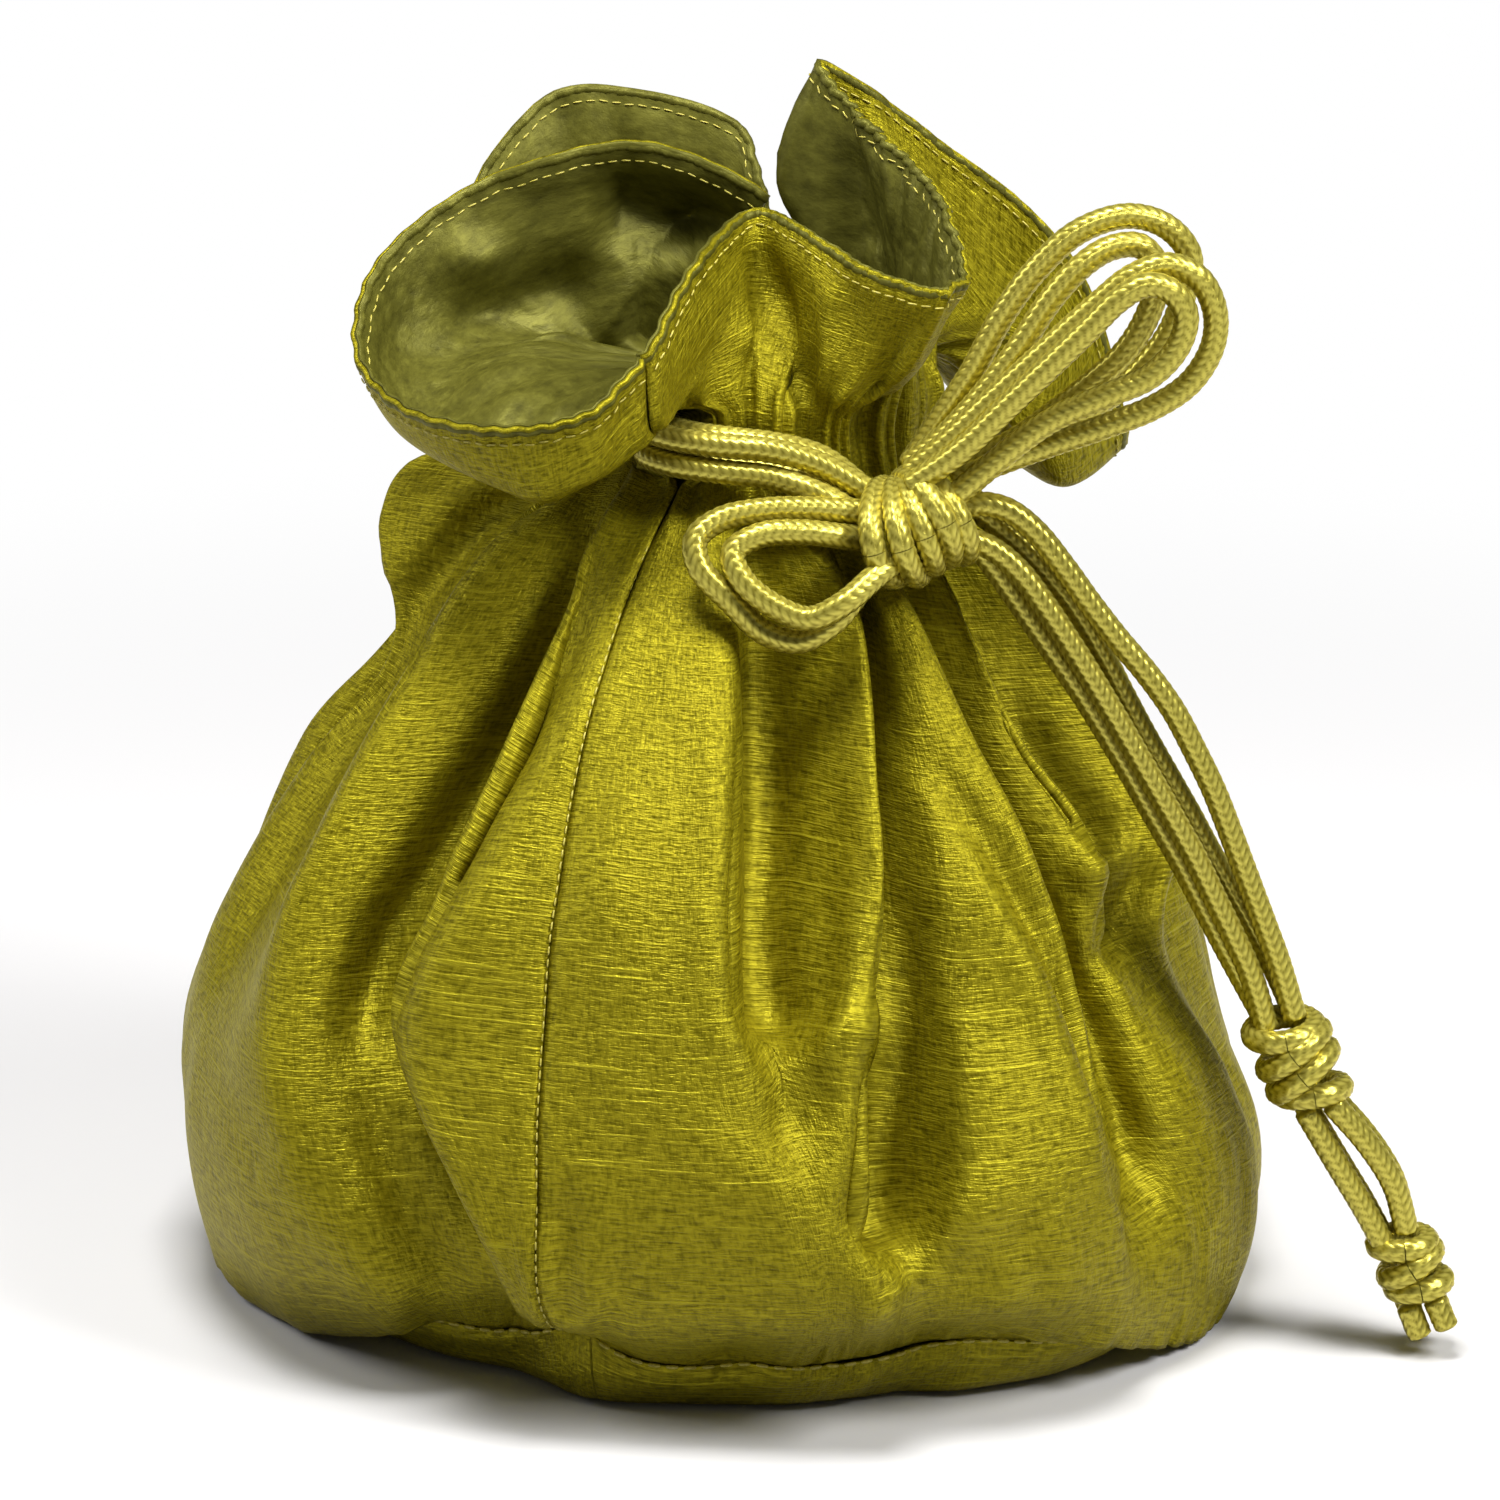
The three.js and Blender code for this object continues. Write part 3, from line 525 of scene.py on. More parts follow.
tipRoutes = {
    "tip_left_front": [
        [101.2, -38.9, 7.9], [102.1, -38.9, 5.8], [103, -39, 3.6]],
    "tip_left_back": [
        [101.2, -34.9, 7.9], [102.1, -34.7, 5.4], [103, -34.6, 2.8]],
    "tip_right_front": [
        [105.1, -38.9, 8.9], [106, -39, 7], [106.9, -39.2, 5]],
    "tip_right_back": [
        [105.1, -34.9, 8.9], [106, -34.8, 6.6], [106.9, -34.6, 4.2]],
}


braidShape = {
    "sides": 40,
    "step": 0.33,
    "columns": 8,
    "columnStart": 0.25,
    "pitch": 1.4,
    "slant": 1.3,
    "relief": 0.2,
    "plumpness": 0.7,
    "edgeFall": 0.55,
    "middleHeight": 0.62,
}
# the ends' groove values set the shade painted on the domes
endDome = {"rings": [(0.8, 0.28), (0.45, 0.42)], "tip": 0.5, "grooveShade": 0.5, "tipGroove": 0.4}
routeSamples = 40


# Points, faces, uvs and groove depth of a plaited cord: rows of short strands that slant to
# and fro round it, as in a herringbone; the groove depth is the mask for the shade painted
# into the grooves
def braidTube(line, radius, closed):
    look = braidShape
    sides, ups = tubeFrames(line)
    travelled = distanceAlong(line)
    angles = np.arange(look["sides"]) / look["sides"] * 2 * math.pi
    theta = np.broadcast_to(angles[None, :], (len(line), look["sides"]))
    pitch = look["pitch"]
    if closed:
        turned = smoothstep(np.arange(len(line)), 0, len(line) - 1)[:, None]
        theta = theta + turned * closingTwist(line, sides)
        pitch = travelled[-1] / round(travelled[-1] / pitch)
    column = np.arange(look["sides"]) / look["sides"] * look["columns"] + look["columnStart"]
    across = (column % 1) - 0.5
    slant = np.where(np.floor(column) % 2 == 0, 1.0, -1.0) * across * look["slant"]
    phase = (travelled[:, None] + slant[None, :]) / pitch % 1
    strand = np.sin(math.pi * phase) ** look["plumpness"]
    strand = strand * (1 - look["edgeFall"] * (2 * across[None, :]) ** 2)
    swell = radius + look["relief"] * (strand - look["middleHeight"])
    points = tubePoints(line, sides, ups, theta, swell)
    faces = gridFaces(len(line), look["sides"], True)
    uvs = np.stack(np.broadcast_arrays(angles[None, :] * radius * mm, travelled[:, None] * mm), -1)
    return points.reshape(-1, 3), faces, uvs.reshape(-1, 2), strand.reshape(-1)


# Closes one end of a tube with a low dome
def roundEnd(points, faces, uvs, grooveShade, count, centre, outward, first):
    start = len(points)
    ring = list(range(count)) if first else list(range(start - count, start))
    extra = [centre + (points[ring] - centre) * share + outward * lift for share, lift in endDome["rings"]]
    extra.append((centre + outward * endDome["tip"])[None, :])
    points = np.concatenate([points, *extra])
    uvs = np.concatenate([uvs, np.tile(uvs[ring], (2, 1)), uvs[ring[:1]]])
    grooveShade = np.concatenate([grooveShade, np.full(2 * count, endDome["grooveShade"]), [endDome["tipGroove"]]])
    rings = [ring, list(range(start, start + count)), list(range(start + count, start + 2 * count))]
    for low, high in zip(rings, rings[1:]):
        for i in range(count):
            j = (i + 1) % count
            face = [low[i], low[j], high[j], high[i]]
            faces.append(face[::-1] if first else face)
    tip = start + 2 * count
    for i in range(count):
        face = [rings[2][i], rings[2][(i + 1) % count], tip]
        faces.append(face[::-1] if first else face)
    return points, faces, uvs, grooveShade


# Both ends of an open cord, with the far end's ring kept last until it is closed
def roundEnds(line, points, faces, uvs, grooveShade):
    count = braidShape["sides"]
    near = (line[0] - line[1]) / np.linalg.norm(line[0] - line[1])
    points, faces, uvs, grooveShade = roundEnd(points, faces, uvs, grooveShade, count, line[0], near, True)
    far = len(line) * count
    lastRing = np.arange(far - count, far)
    order = np.concatenate([np.arange(far - count), np.arange(far, len(points)), lastRing])
    back = np.empty(len(points), int)
    back[order] = np.arange(len(points))
    faces = [[int(back[k]) for k in face] for face in faces]
    away = (line[-1] - line[-2]) / np.linalg.norm(line[-1] - line[-2])
    return roundEnd(points[order], faces, uvs[order], grooveShade[order], count, line[-1], away, False)


# One piece of one or more plaited tubes
def cordObject(name, lines, closed=False):
    allPoints, allFaces, allUvs, allGroove, offset = [], [], [], [], 0
    for line in lines:
        points, faces, uvs, grooveShade = braidTube(line, cordDiameter / 2, closed)
        if not closed:
            points, faces, uvs, grooveShade = roundEnds(line, points, faces, uvs, grooveShade)
        allPoints.append(points)
        allFaces += [[k + offset for k in face] for face in faces]
        allUvs.append(uvs)
        allGroove.append(grooveShade)
        offset += len(points)
    made = meshObject(name, np.concatenate(allPoints), allFaces, braid, np.concatenate(allUvs))
    # the painted groove shade, carried to the cord's colour
    attribute = made.data.attributes.new("grooveShade", "FLOAT", "POINT")
    attribute.data.foreach_set("value", np.concatenate(allGroove).astype(np.float32))
    return made


# One length of cord that stands for the solid of the same name
def laidCord(name, route):
    dense = catmullRom(route, np.linspace(0, len(route) - 1, routeSamples * len(route)))
    line = evenly(dense, braidShape["step"])
    made = cordObject(name + "_braid", [line])
    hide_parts(name)
    return made, line


for name, route in leadRoutes.items():
    made, line = laidCord(name, route)
loops = {name: laidCord(name, route) for name, route in loopRoutes.items()}
print("cords: leads and loops")


# Knots: rings of the same cord laid side by side; depth is their half width from front to
# back, where it isn't the radius
knotRings = {
    "bow_knot": [
        {"centre": (23.8, -36.2, 125.6), "axis": (0.93, -0.25, 0.27), "radius": 6.2, "depth": 8.8},
        {"centre": (26.4, -36.4, 125.8), "axis": (0.95, -0.1, 0.3), "radius": 6.4, "depth": 8.4},
        {"centre": (28.0, -36.2, 126.7), "axis": (0.92, 0.12, 0.35), "radius": 6.1, "depth": 7.4},
        {"centre": (29.2, -36.0, 127.7), "axis": (0.86, 0.34, 0.38), "radius": 6.4, "depth": 7.8},
        {"centre": (31.8, -34.9, 127.5), "axis": (0.86, 0.34, 0.38), "radius": 6.0, "depth": 7.0}],
    "tail_knot_upper": [
        {"centre": (81.9, -36.9, 50.6), "axis": (0.18, 0.1, -0.98), "radius": 4.5},
        {"centre": (83.5, -37.2, 47.6), "axis": (0.62, -0.1, -0.78), "radius": 4.9},
        {"centre": (84.9, -37.2, 44.4), "axis": (0.66, -0.1, -0.75), "radius": 4.9},
        {"centre": (86.4, -36.9, 41.2), "axis": (0.16, -0.1, -0.98), "radius": 4.3}],
    "tail_knot_lower": [
        {"centre": (100.2, -37, 17.4), "axis": (0.1, 0, -0.99), "radius": 3.7},
        {"centre": (101.5, -37.1, 14.2), "axis": (0.55, -0.05, -0.83), "radius": 3.9},
        {"centre": (102.8, -37, 11.0), "axis": (0.2, 0, -0.98), "radius": 3.6}],
}
ringPoints = 121


def knotLines(rings):
    lines = []
    for ring in rings:
        axis = np.array(ring["axis"], float)
        axis /= np.linalg.norm(axis)
        front = np.array([0.0, -1.0, 0.0])
        front -= axis * np.dot(front, axis)
        front /= np.linalg.norm(front)
        angle = np.linspace(0, 2 * math.pi, ringPoints)[:, None]
        ahead = front * np.cos(angle) * ring.get("depth", ring["radius"])
        wrap = ahead + np.cross(axis, front) * np.sin(angle) * ring["radius"]
        lines.append(evenly(np.array(ring["centre"]) + wrap, braidShape["step"]))
    return lines


for name, rings in knotRings.items():
    made = cordObject(name + "_wraps", knotLines(rings), closed=True)
    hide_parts(name)
ends = [laidCord(name, route)[0] for name, route in [*strandRoutes.items(), *tipRoutes.items()]]
for name, route in tailRoutes.items():
    made, line = laidCord(name, route)
for name in ("casing_cord_upper", "casing_cord_lower"):
    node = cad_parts[name]
    node.data.materials.clear()
    node.data.materials.append(braid)
print("cords: tails and knots")


# The cloth's folds, as in the solids
seamHeight = 9.0
seamRadius = 67.0
bellyRadius = 79.0
neckLow = 131.0
neckTop = 139.5
neckRadius = 24.0
neckCentre = np.array([7.0, 0.0])
floorShare = 0.86
flatPetal = 30.0
neckRow = 8


def shoulder(share):
    return neckRadius + (bellyRadius - neckRadius) * share


levels = [
    (0, seamRadius, 0), (0.107, bellyRadius, 0.5), (0.254, bellyRadius, -1), (0.418, shoulder(0.88), -2),
    (0.566, shoulder(0.745), -1), (0.713, shoulder(0.536), -0.5), (0.861, shoulder(0.3), 2.5),
    (0.934, shoulder(0.145), 5), (1, neckRadius, 7)]

# Each fold from the base seam to the hem: turn in degrees round from the front at each
# level, out of the level's radius, and the hem counted from the top of the casing
folds = [
    {"name": "front_seam", "hem": [-11, -40, 12.5],
     "turn": [-17, -19, -18, -18, -19, -20, -23, -27, -31], "out": [-1, 1, 2, 3, 4, 4, 3, 1.5, 0.5]},
    {"name": "front_panel_edge", "hem": [-3, -26, 23.5],
     "turn": [9, 8, 6, 3, 2, 2, -2, -9, -19], "out": [-1, 1, 3, 4, 5, 5, 3, 2, 1]},
    {"name": "front_pleat", "hem": [5, -9, 27.5],
     "turn": [14, 12, 11, 6.5, 5.5, 6, 3, -1, -8], "out": [-1, 1, 2.5, -6, -12, -12, -8, -5, -2]},
    {"name": "right_tube", "hem": [11, -16, 26.5],
     "turn": [18, 15, 15, 17.5, 20.5, 23, 23, 14, 4], "out": [-1, 1, 1.5, 2, 3, 3, 2, -1, 1]},
    {"name": "right_tube_valley", "hem": [18, -24, 23.5],
     "turn": [25, 20, 18, 20, 23.5, 27, 28, 22, 14], "out": [-1, -1.5, -9, -12, -13, -12, -7, -5, -2]},
    {"name": "right_panel_start", "hem": [25, -30, 21.5],
     "turn": [32, 31, 29, 29, 31, 32, 30, 26, 20], "out": [3, 2, 2, 2, 2, 2, 1, -3, 1]},
    {"name": "right_panel_edge", "hem": [32, -32, 20.5],
     "turn": [46, 45, 43, 44, 42, 39, 35, 32, 27], "out": [8, 3, 4, 5, 5, 5, 3, -2, 1]},
    {"name": "right_panel_valley", "hem": [35, -26, 21.5],
     "turn": [58, 57, 51, 49, 45, 41, 41, 39, 36], "out": [9, 1, -7, -10, -11, -9, -5, -4, -2]},
    {"name": "shoulder_edge", "hem": [33, -18, 28.5],
     "turn": [63, 62, 58, 56, 55, 49, 47, 46, 45], "out": [10, 3, 1, -3, 1, 3, 2, 1, 1]},
    {"name": "shoulder_valley", "hem": [30, -10, 32.5],
     "turn": [68, 67, 65, 63, 61, 57, 55, 54, 54], "out": [10.5, 3.5, 2, -4, -9, -10, -7, -4, -2]},
    {"name": "shoulder_corner", "hem": [24, -3, 36.5],
     "turn": [73, 72, 70, 70, 76, 76, 66, 65, 64], "out": [10, 4, 1, -2, 6, 6, 4, 2, 1]},
    {"name": "right_valley", "hem": [19, 3, 40.5],
     "turn": [79, 78, 78, 80, 85, 88, 82, 78, 74], "out": [9, 2, -4, -5, -4, -5, -4, -3, -2]},
    {"name": "right_fold", "hem": [15, 8, 45.5], "waist": [9.5, 9, 27.5],
     "turn": [88, 88, 89, 92, 95, 97, 92, 88, 84], "out": [8, 2, -2, 0, 1, 2, 1, 1, 1]},
    {"name": "right_back_valley_1", "hem": [22.5, 12, 40.5],
     "turn": [98, 98, 99, 100, 103, 105, 101, 98, 94], "out": [8, 1, -5, -8, -9, -8, -5, -3, -2]},
    {"name": "right_back_fold_1", "hem": [32.5, 15, 32.3], "sag": 5,
     "turn": [110, 110, 109, 111, 112, 112, 109, 107, 104], "out": [6, 2, 2, 3, 3, 3, 2, 1, 1]},
    {"name": "right_back_valley_2", "hem": [44, 17, 23.3], "sag": 9,
     "turn": [121, 120, 119, 119, 120, 120, 118, 116, 114], "out": [3, -2, -6, -9, -9, -8, -5, -3, -2]},
    {"name": "right_back_fold_2", "hem": [53, 18, 13], "sag": 8,
     "turn": [131, 131, 132, 130, 129, 129, 127, 126, 124], "out": [1, 1, 2, 3, 3, 3, 2, 1, 1]},
    {"name": "right_back_valley_3", "hem": [58.5, 20, -1.5], "waist": [49, 17, -11.5],
     "turn": [141, 142, 143, 142, 139, 138, 137, 136, 134], "out": [-1, -2, -4, -8, -9, -8, -5, -3, -2]},
    {"name": "right_back_fold_3", "hem": [61, 27, -16.5], "waist": [51, 21, -22.5],
     "turn": [152, 153, 153, 152, 150, 149, 147, 146, 144], "out": [0, 1, 2, 3, 4, 3, 2, 1, 1]},
    {"name": "back_valley_1", "hem": [53, 38, -12.5], "waist": [44, 31, -19.5],
     "turn": [163, 163, 162, 162, 161, 160, 158, 156, 154], "out": [-1, -2, -6, -10, -11, -9, -5, -3, -2]},
    {"name": "back_fold_1", "hem": [36, 44, 1.5], "sag": 4,
     "turn": [173, 172, 171, 172, 173, 171, 169, 167, 164], "out": [0, 1, 3, 3, 3, 3, 2, 1, 1]},
    {"name": "back_valley_2", "hem": [19, 40, 10.5],
     "turn": [182, 181, 181, 183, 184, 182, 179, 177, 174], "out": [0, -2, -4, -7, -9, -8, -5, -3, -2]},
    {"name": "back_fold_2", "hem": [8, 28, 16.5],
     "turn": [192, 192, 193, 194, 194, 192, 189, 187, 184], "out": [0, 1, 2, 3, 4, 3, 2, 1, 1]},
    {"name": "back_valley_3", "hem": [3, 34, 30.5],
     "turn": [202, 203, 204, 204, 203, 202, 199, 197, 194], "out": [-1, -3, -6, -9, -10, -9, -5, -3, -2]},
    {"name": "back_fold_3", "hem": [-13, 38, 35.5],
     "turn": [213, 213, 213, 212, 212, 211, 209, 207, 204], "out": [0, 1, 3, 3, 3, 3, 2, 1, 1]},
    {"name": "left_back_valley_1", "hem": [-26, 36, 35.5],
     "turn": [224, 223, 222, 221, 221, 221, 219, 217, 214], "out": [-1, -2, -4, -8, -9, -7, -4, -3, -2]},
    {"name": "left_back_fold_1", "hem": [-37.5, 26, 22],
     "turn": [234, 233, 232, 231, 231, 231, 229, 227, 224], "out": [0, 1, 2, 3, 3, 3, 2, 2, 1]},
    {"name": "left_back_valley_2", "hem": [-18, 17, 25.5],
     "turn": [244, 243, 242, 241, 241, 240, 238, 236, 233], "out": [0, -1, -4, -7, -8, -8, -4, 0, -2]},
    {"name": "left_back_fold_2", "hem": [6, 8, 26.5],
     "turn": [253, 252, 252, 251, 250, 248, 246, 243, 240], "out": [4, 2, 3, 2, 2, -1, 4, 8, 1]},
    {"name": "left_lobe_valley", "hem": [-12, 5, 34.5],
     "turn": [260, 260, 260, 259, 257, 254, 250, 249, 248], "out": [7, 3, 1, -2, -6, -6, 5, 12, -1]},
    {"name": "left_lobe", "hem": [-37.5, 3, 28],
     "turn": [266, 267, 268, 267, 265, 261, 254, 255, 256], "out": [8, 4, 2.5, 0, -3, -4, 16, 22, 1]},
    {"name": "left_valley", "hem": [-52.5, -10, 16.5], "sag": 3,
     "turn": [-80, -78, -76, -76, -76, -79, -88, -91, -93], "out": [7, 2, 0, -5, -11, -14, -11, -5, -3]},
    {"name": "left_tube", "hem": [-50, -28, 5.5], "sag": 6,
     "turn": [-45, -47, -51, -55, -57, -58, -64, -72, -80], "out": [-4, 0, 3, 4, 4, 4, 4, 2, 1]},
    {"name": "left_tube_valley", "hem": [-35, -44, 3.5], "sag": 6,
     "turn": [-32, -29, -33, -39, -38, -35, -39, -52, -66],
     "out": [-6, -10, -15, -19, -19, -17, -11, -6, -3]},
    {"name": "left_panel_edge", "hem": [-21, -48, 5.5], "sag": 3,
     "turn": [-22, -22, -27, -37, -35, -33, -35, -43, -51], "out": [-2, 1, 2.5, 3, 4, 4, 3, 2, 1]},
]
foldCount = len(folds)

# Where an upright and a flat petal bend, as shares of the way from the casing to the hem
petalBend = {
    "lower": (0.33, 0.5),
    "lowerHeight": (0.33, 0.1),
    "upper": (0.67, 0.87),
    "upperHeight": (0.67, 0.55),
}
waistBend = {"share": 0.4, "lowest": 1}


def polar(centreX, radius, degrees, z):
    angle = math.radians(degrees)
    return np.array([centreX + radius * math.sin(angle), -radius * math.cos(angle), z])


def foldPoints(fold):
    points = [polar(shift, radius + fold["out"][i], fold["turn"][i], mixed(seamHeight, neckLow, up))
              for i, (up, radius, shift) in enumerate(levels)]
    top = np.array([points[neckRow][0], points[neckRow][1], neckTop])
    end = np.array(fold["hem"], float) + [0, 0, neckTop]
    reach = end - top
    outward = top[:2] - neckCentre
    outward /= np.linalg.norm(outward)
    flare = float(np.clip(outward @ reach[:2] / flatPetal, 0, 1))
    shares = {key: mixed(*bend, flare) for key, bend in petalBend.items()}
    lower = top + reach * [shares["lower"], shares["lower"], shares["lowerHeight"]]
    upper = top + reach * [shares["upper"], shares["upper"], shares["upperHeight"]]
    upper[2] -= fold.get("sag", 0)
    if "waist" in fold:
        upper = np.array(fold["waist"], float) + [0, 0, neckTop]
        lower = top + (upper - top) * waistBend["share"]
        lower[2] = max(lower[2], neckTop - waistBend["lowest"])
    return np.array(points + [top, lower, upper, end])


foldGrid = np.stack([foldPoints(fold) for fold in folds], 1)


# Points on the silk's outer face: rows counted in levels, places in folds
def clothPoints(rows, places):
    lines = catmullRom(foldGrid, rows)
    places = np.broadcast_to(places, (len(rows), np.shape(places)[-1]))
    whole = np.floor(places).astype(int)
    row = np.arange(len(rows))[:, None]
    four = [lines[row, (whole + k) % foldCount] for k in (-1, 0, 1, 2)]
    return blend(four, (places - whole)[..., None])


slotOpening = {"right": 1.1, "left": 1.4, "edge": 2.0, "rows": (7.8, 8, 9, 9.4)}


# The front seam is open at the neck, where the cords come out
def openSlot(places, rows):
    gape = bumpBetween(rows, *slotOpening["rows"])[:, None]
    edge = slotOpening["edge"]
    right = edge - (edge - places) * (1 - gape * (1 - slotOpening["right"] / edge))
    left = foldCount - edge + (places - foldCount + edge) * (
        1 - gape * (1 - (edge - slotOpening["left"]) / edge))
    return np.where(places < edge, right, np.where(places > foldCount - edge, left, places))


def gridNormals(points):
    along = np.gradient(points, axis=1)
    up = np.gradient(points, axis=0)
    normals = np.cross(along, up)
    return normals / np.maximum(np.linalg.norm(normals, axis=2, keepdims=True), 1e-9)


def arcLengths(points, axis):
    steps = np.linalg.norm(np.diff(points, axis=axis), axis=2)
    start = np.zeros_like(steps[:1]) if axis == 0 else np.zeros_like(steps[:, :1])
    return np.concatenate([start, np.cumsum(steps, axis=axis)], axis=axis)


# Distance along each row from the front seam, whichever end of the grid it is at
def arcFromSeam(points, around):
    arcs = arcLengths(points, 1)
    if around[0, 0] < 1:
        return arcs
    return arcs[:, -1:] - arcs


def foldsFromFront(around):
    return (around + foldCount / 2) % foldCount - foldCount / 2


# Creases pressed into the silk, drawn over it as the photograph shows them: the line in
# the picture's frame, its width there, how deep it sinks in millimetres, and the share of
# its length over which its end fades; a raised one has a depth below zero
creases = {
    "front_pocket": {
        "line": [[768, 640], [764, 780], [757, 910], [764, 1010], [774, 1046]],
        "width": 21, "depth": 3.4, "ends": 0.05},
    "front_pocket_slope": {
        "line": [[806, 640], [806, 800], [800, 900], [788, 990], [776, 1042]],
        "width": 42, "depth": 1.6, "ends": 0.12},
    "front_pocket_lip": {
        "line": [[728, 1010], [774, 1082], [830, 1052], [885, 985]],
        "width": 25, "depth": -2.8, "ends": 0.3},
    "tube_pocket": {
        "line": [[900, 860], [892, 1010], [878, 1130], [868, 1215], [877, 1262]],
        "width": 19, "depth": 2.8, "ends": 0.05},
    "tube_pocket_slope": {
        "line": [[930, 880], [930, 1000], [915, 1110], [893, 1200], [880, 1258]],
        "width": 38, "depth": 2.6, "ends": 0.1},
    "tube_ridge": {
        "line": [[872, 880], [868, 1000], [850, 1120], [840, 1190]],
        "width": 20, "depth": -1.0, "ends": 0.4},
    "tube_pocket_lip": {
        "line": [[830, 1250], [873, 1298], [925, 1258], [1005, 1160]],
        "width": 27, "depth": -2.8, "ends": 0.3},
    "right_panel_swell": {
        "line": [[960, 860], [1020, 950], [1062, 1040], [1092, 1130], [1112, 1210]],
        "width": 26, "depth": -1.4, "ends": 0.3},
    "right_panel_edge": {
        "line": [[915, 740], [985, 835], [1045, 930], [1090, 1030],
                 [1120, 1120], [1146, 1215], [1150, 1290]],
        "width": 15, "depth": 3.0, "ends": 0.1},
    "shoulder_pinch_foot": {
        "line": [[1085, 1000], [1112, 925], [1140, 882], [1156, 862]],
        "width": 16, "depth": 2.2, "ends": 0.1},
    "shoulder_pinch": {
        "line": [[1000, 690], [1045, 770], [1095, 835], [1112, 846]],
        "width": 18, "depth": 2.4, "ends": 0.08},
    "shoulder_pinch_lip": {
        "line": [[1065, 850], [1110, 872], [1145, 850]],
        "width": 18, "depth": -1.4, "ends": 0.3},
    "left_panel_valley": {
        "line": [[592, 540], [562, 640], [512, 740], [452, 840], [392, 935], [362, 1020], [366, 1090]],
        "width": 25, "depth": 4.4, "ends": 0.2},
    "left_panel_valley_foot": {
        "line": [[366, 1060], [385, 1150], [420, 1235], [462, 1300]],
        "width": 20, "depth": 2.2, "ends": 0.15},
    "left_tube_foot": {
        "line": [[335, 1190], [370, 1270], [425, 1318]],
        "width": 26, "depth": -1.4, "ends": 0.3},
    "left_tube_edge": {
        "line": [[470, 556], [400, 655], [345, 740], [295, 825], [252, 905], [220, 980], [206, 1040]],
        "width": 15, "depth": 2.2, "ends": 0.3},
    "left_lobe_shadow": {
        "line": [[606, 452], [545, 482], [472, 524], [415, 590], [385, 650]],
        "width": 15, "depth": 3.0, "ends": 0.2},
    "left_side_dip": {
        "line": [[205, 1040], [240, 1110], [270, 1190]],
        "width": 24, "depth": 0.9, "ends": 0.3},
    "seam_swell": {
        "line": [[640, 760], [612, 860], [598, 980]],
        "width": 34, "depth": -0.8, "ends": 0.4},
    "seam_foot": {
        "line": [[566, 1180], [560, 1260], [562, 1330]],
        "width": 16, "depth": 1.5, "ends": 0.1},
    "left_foot_pucker": {
        "line": [[500, 1240], [512, 1290], [520, 1335]],
        "width": 13, "depth": 0.9, "ends": 0.1},
    "middle_foot_pucker": {
        "line": [[630, 1250], [618, 1300], [600, 1345]],
        "width": 14, "depth": 0.8, "ends": 0.1},
    "right_foot_pucker": {
        "line": [[1010, 1210], [1035, 1270], [1045, 1320]],
        "width": 18, "depth": 0.9, "ends": 0.3},
}


# The same for the ruffle, with the folds that each one may touch, counted from the front
# seam; those seen on the lining's side say so
ruffleCreases = {
    "front_petal_pleat": {
        "line": [[762, 235], [772, 300], [795, 380], [806, 430]],
        "width": 19, "depth": 3.4, "ends": 0.02, "folds": (-1.5, 9)},
    "front_petal_ridge": {
        "line": [[832, 240], [838, 320], [826, 380], [818, 430]],
        "width": 15, "depth": -1.6, "ends": 0.1, "folds": (-1.5, 9)},
    "front_petal_right_pleat": {
        "line": [[908, 300], [888, 350], [876, 400], [868, 440]],
        "width": 13, "depth": 2.0, "ends": 0.02, "folds": (-1.5, 10)},
    "seam_edge_swell": {
        "line": [[735, 250], [740, 320], [750, 370]],
        "width": 16, "depth": -1.6, "ends": 0.3, "folds": (-3, 4)},
    "left_petal_valley": {
        "line": [[430, 335], [500, 308], [580, 280], [640, 262]],
        "width": 26, "depth": 2.4, "ends": 0.4, "folds": (-9, 0), "inside": True},
    "left_petal_lobe": {
        "line": [[440, 405], [530, 372], [590, 340], [640, 318]],
        "width": 36, "depth": -2.4, "ends": 0.5, "folds": (-9, 0), "inside": True},
    "left_petal_hollow": {
        "line": [[580, 215], [635, 212], [685, 232], [700, 262]],
        "width": 42, "depth": 6.5, "ends": 0.25, "folds": (-9, 0), "inside": True},
    "left_petal_swell": {
        "line": [[420, 240], [470, 260], [520, 255]],
        "width": 26, "depth": -1.4, "ends": 0.4, "folds": (-9, 0), "inside": True},
    "left_petal_wall": {
        "line": [[440, 150], [500, 180], [560, 215]],
        "width": 18, "depth": 1.2, "ends": 0.4, "folds": (-9, 0), "inside": True},
    "right_petal_wall": {
        "line": [[850, 130], [862, 200], [880, 260]],
        "width": 16, "depth": 1.6, "ends": 0.2, "folds": (8, 14), "inside": True},
}


creaseShape = {"fadeIn": (-0.05, 0.35), "rim": 0.18, "rimAt": 2.2, "rimWidth": 0.9}
creaseReach = {"facing": 0.35, "liningFacing": 0.3, "ruffleRows": (9.0, 9.7), "hemRows": (11.3, 12),
               "hemLoss": 0.6, "foldEdge": 0.7}
viewDirection = np.array([0.0, -math.cos(math.radians(cameraSetup["elevation"])),
                          math.sin(math.radians(cameraSetup["elevation"]))])


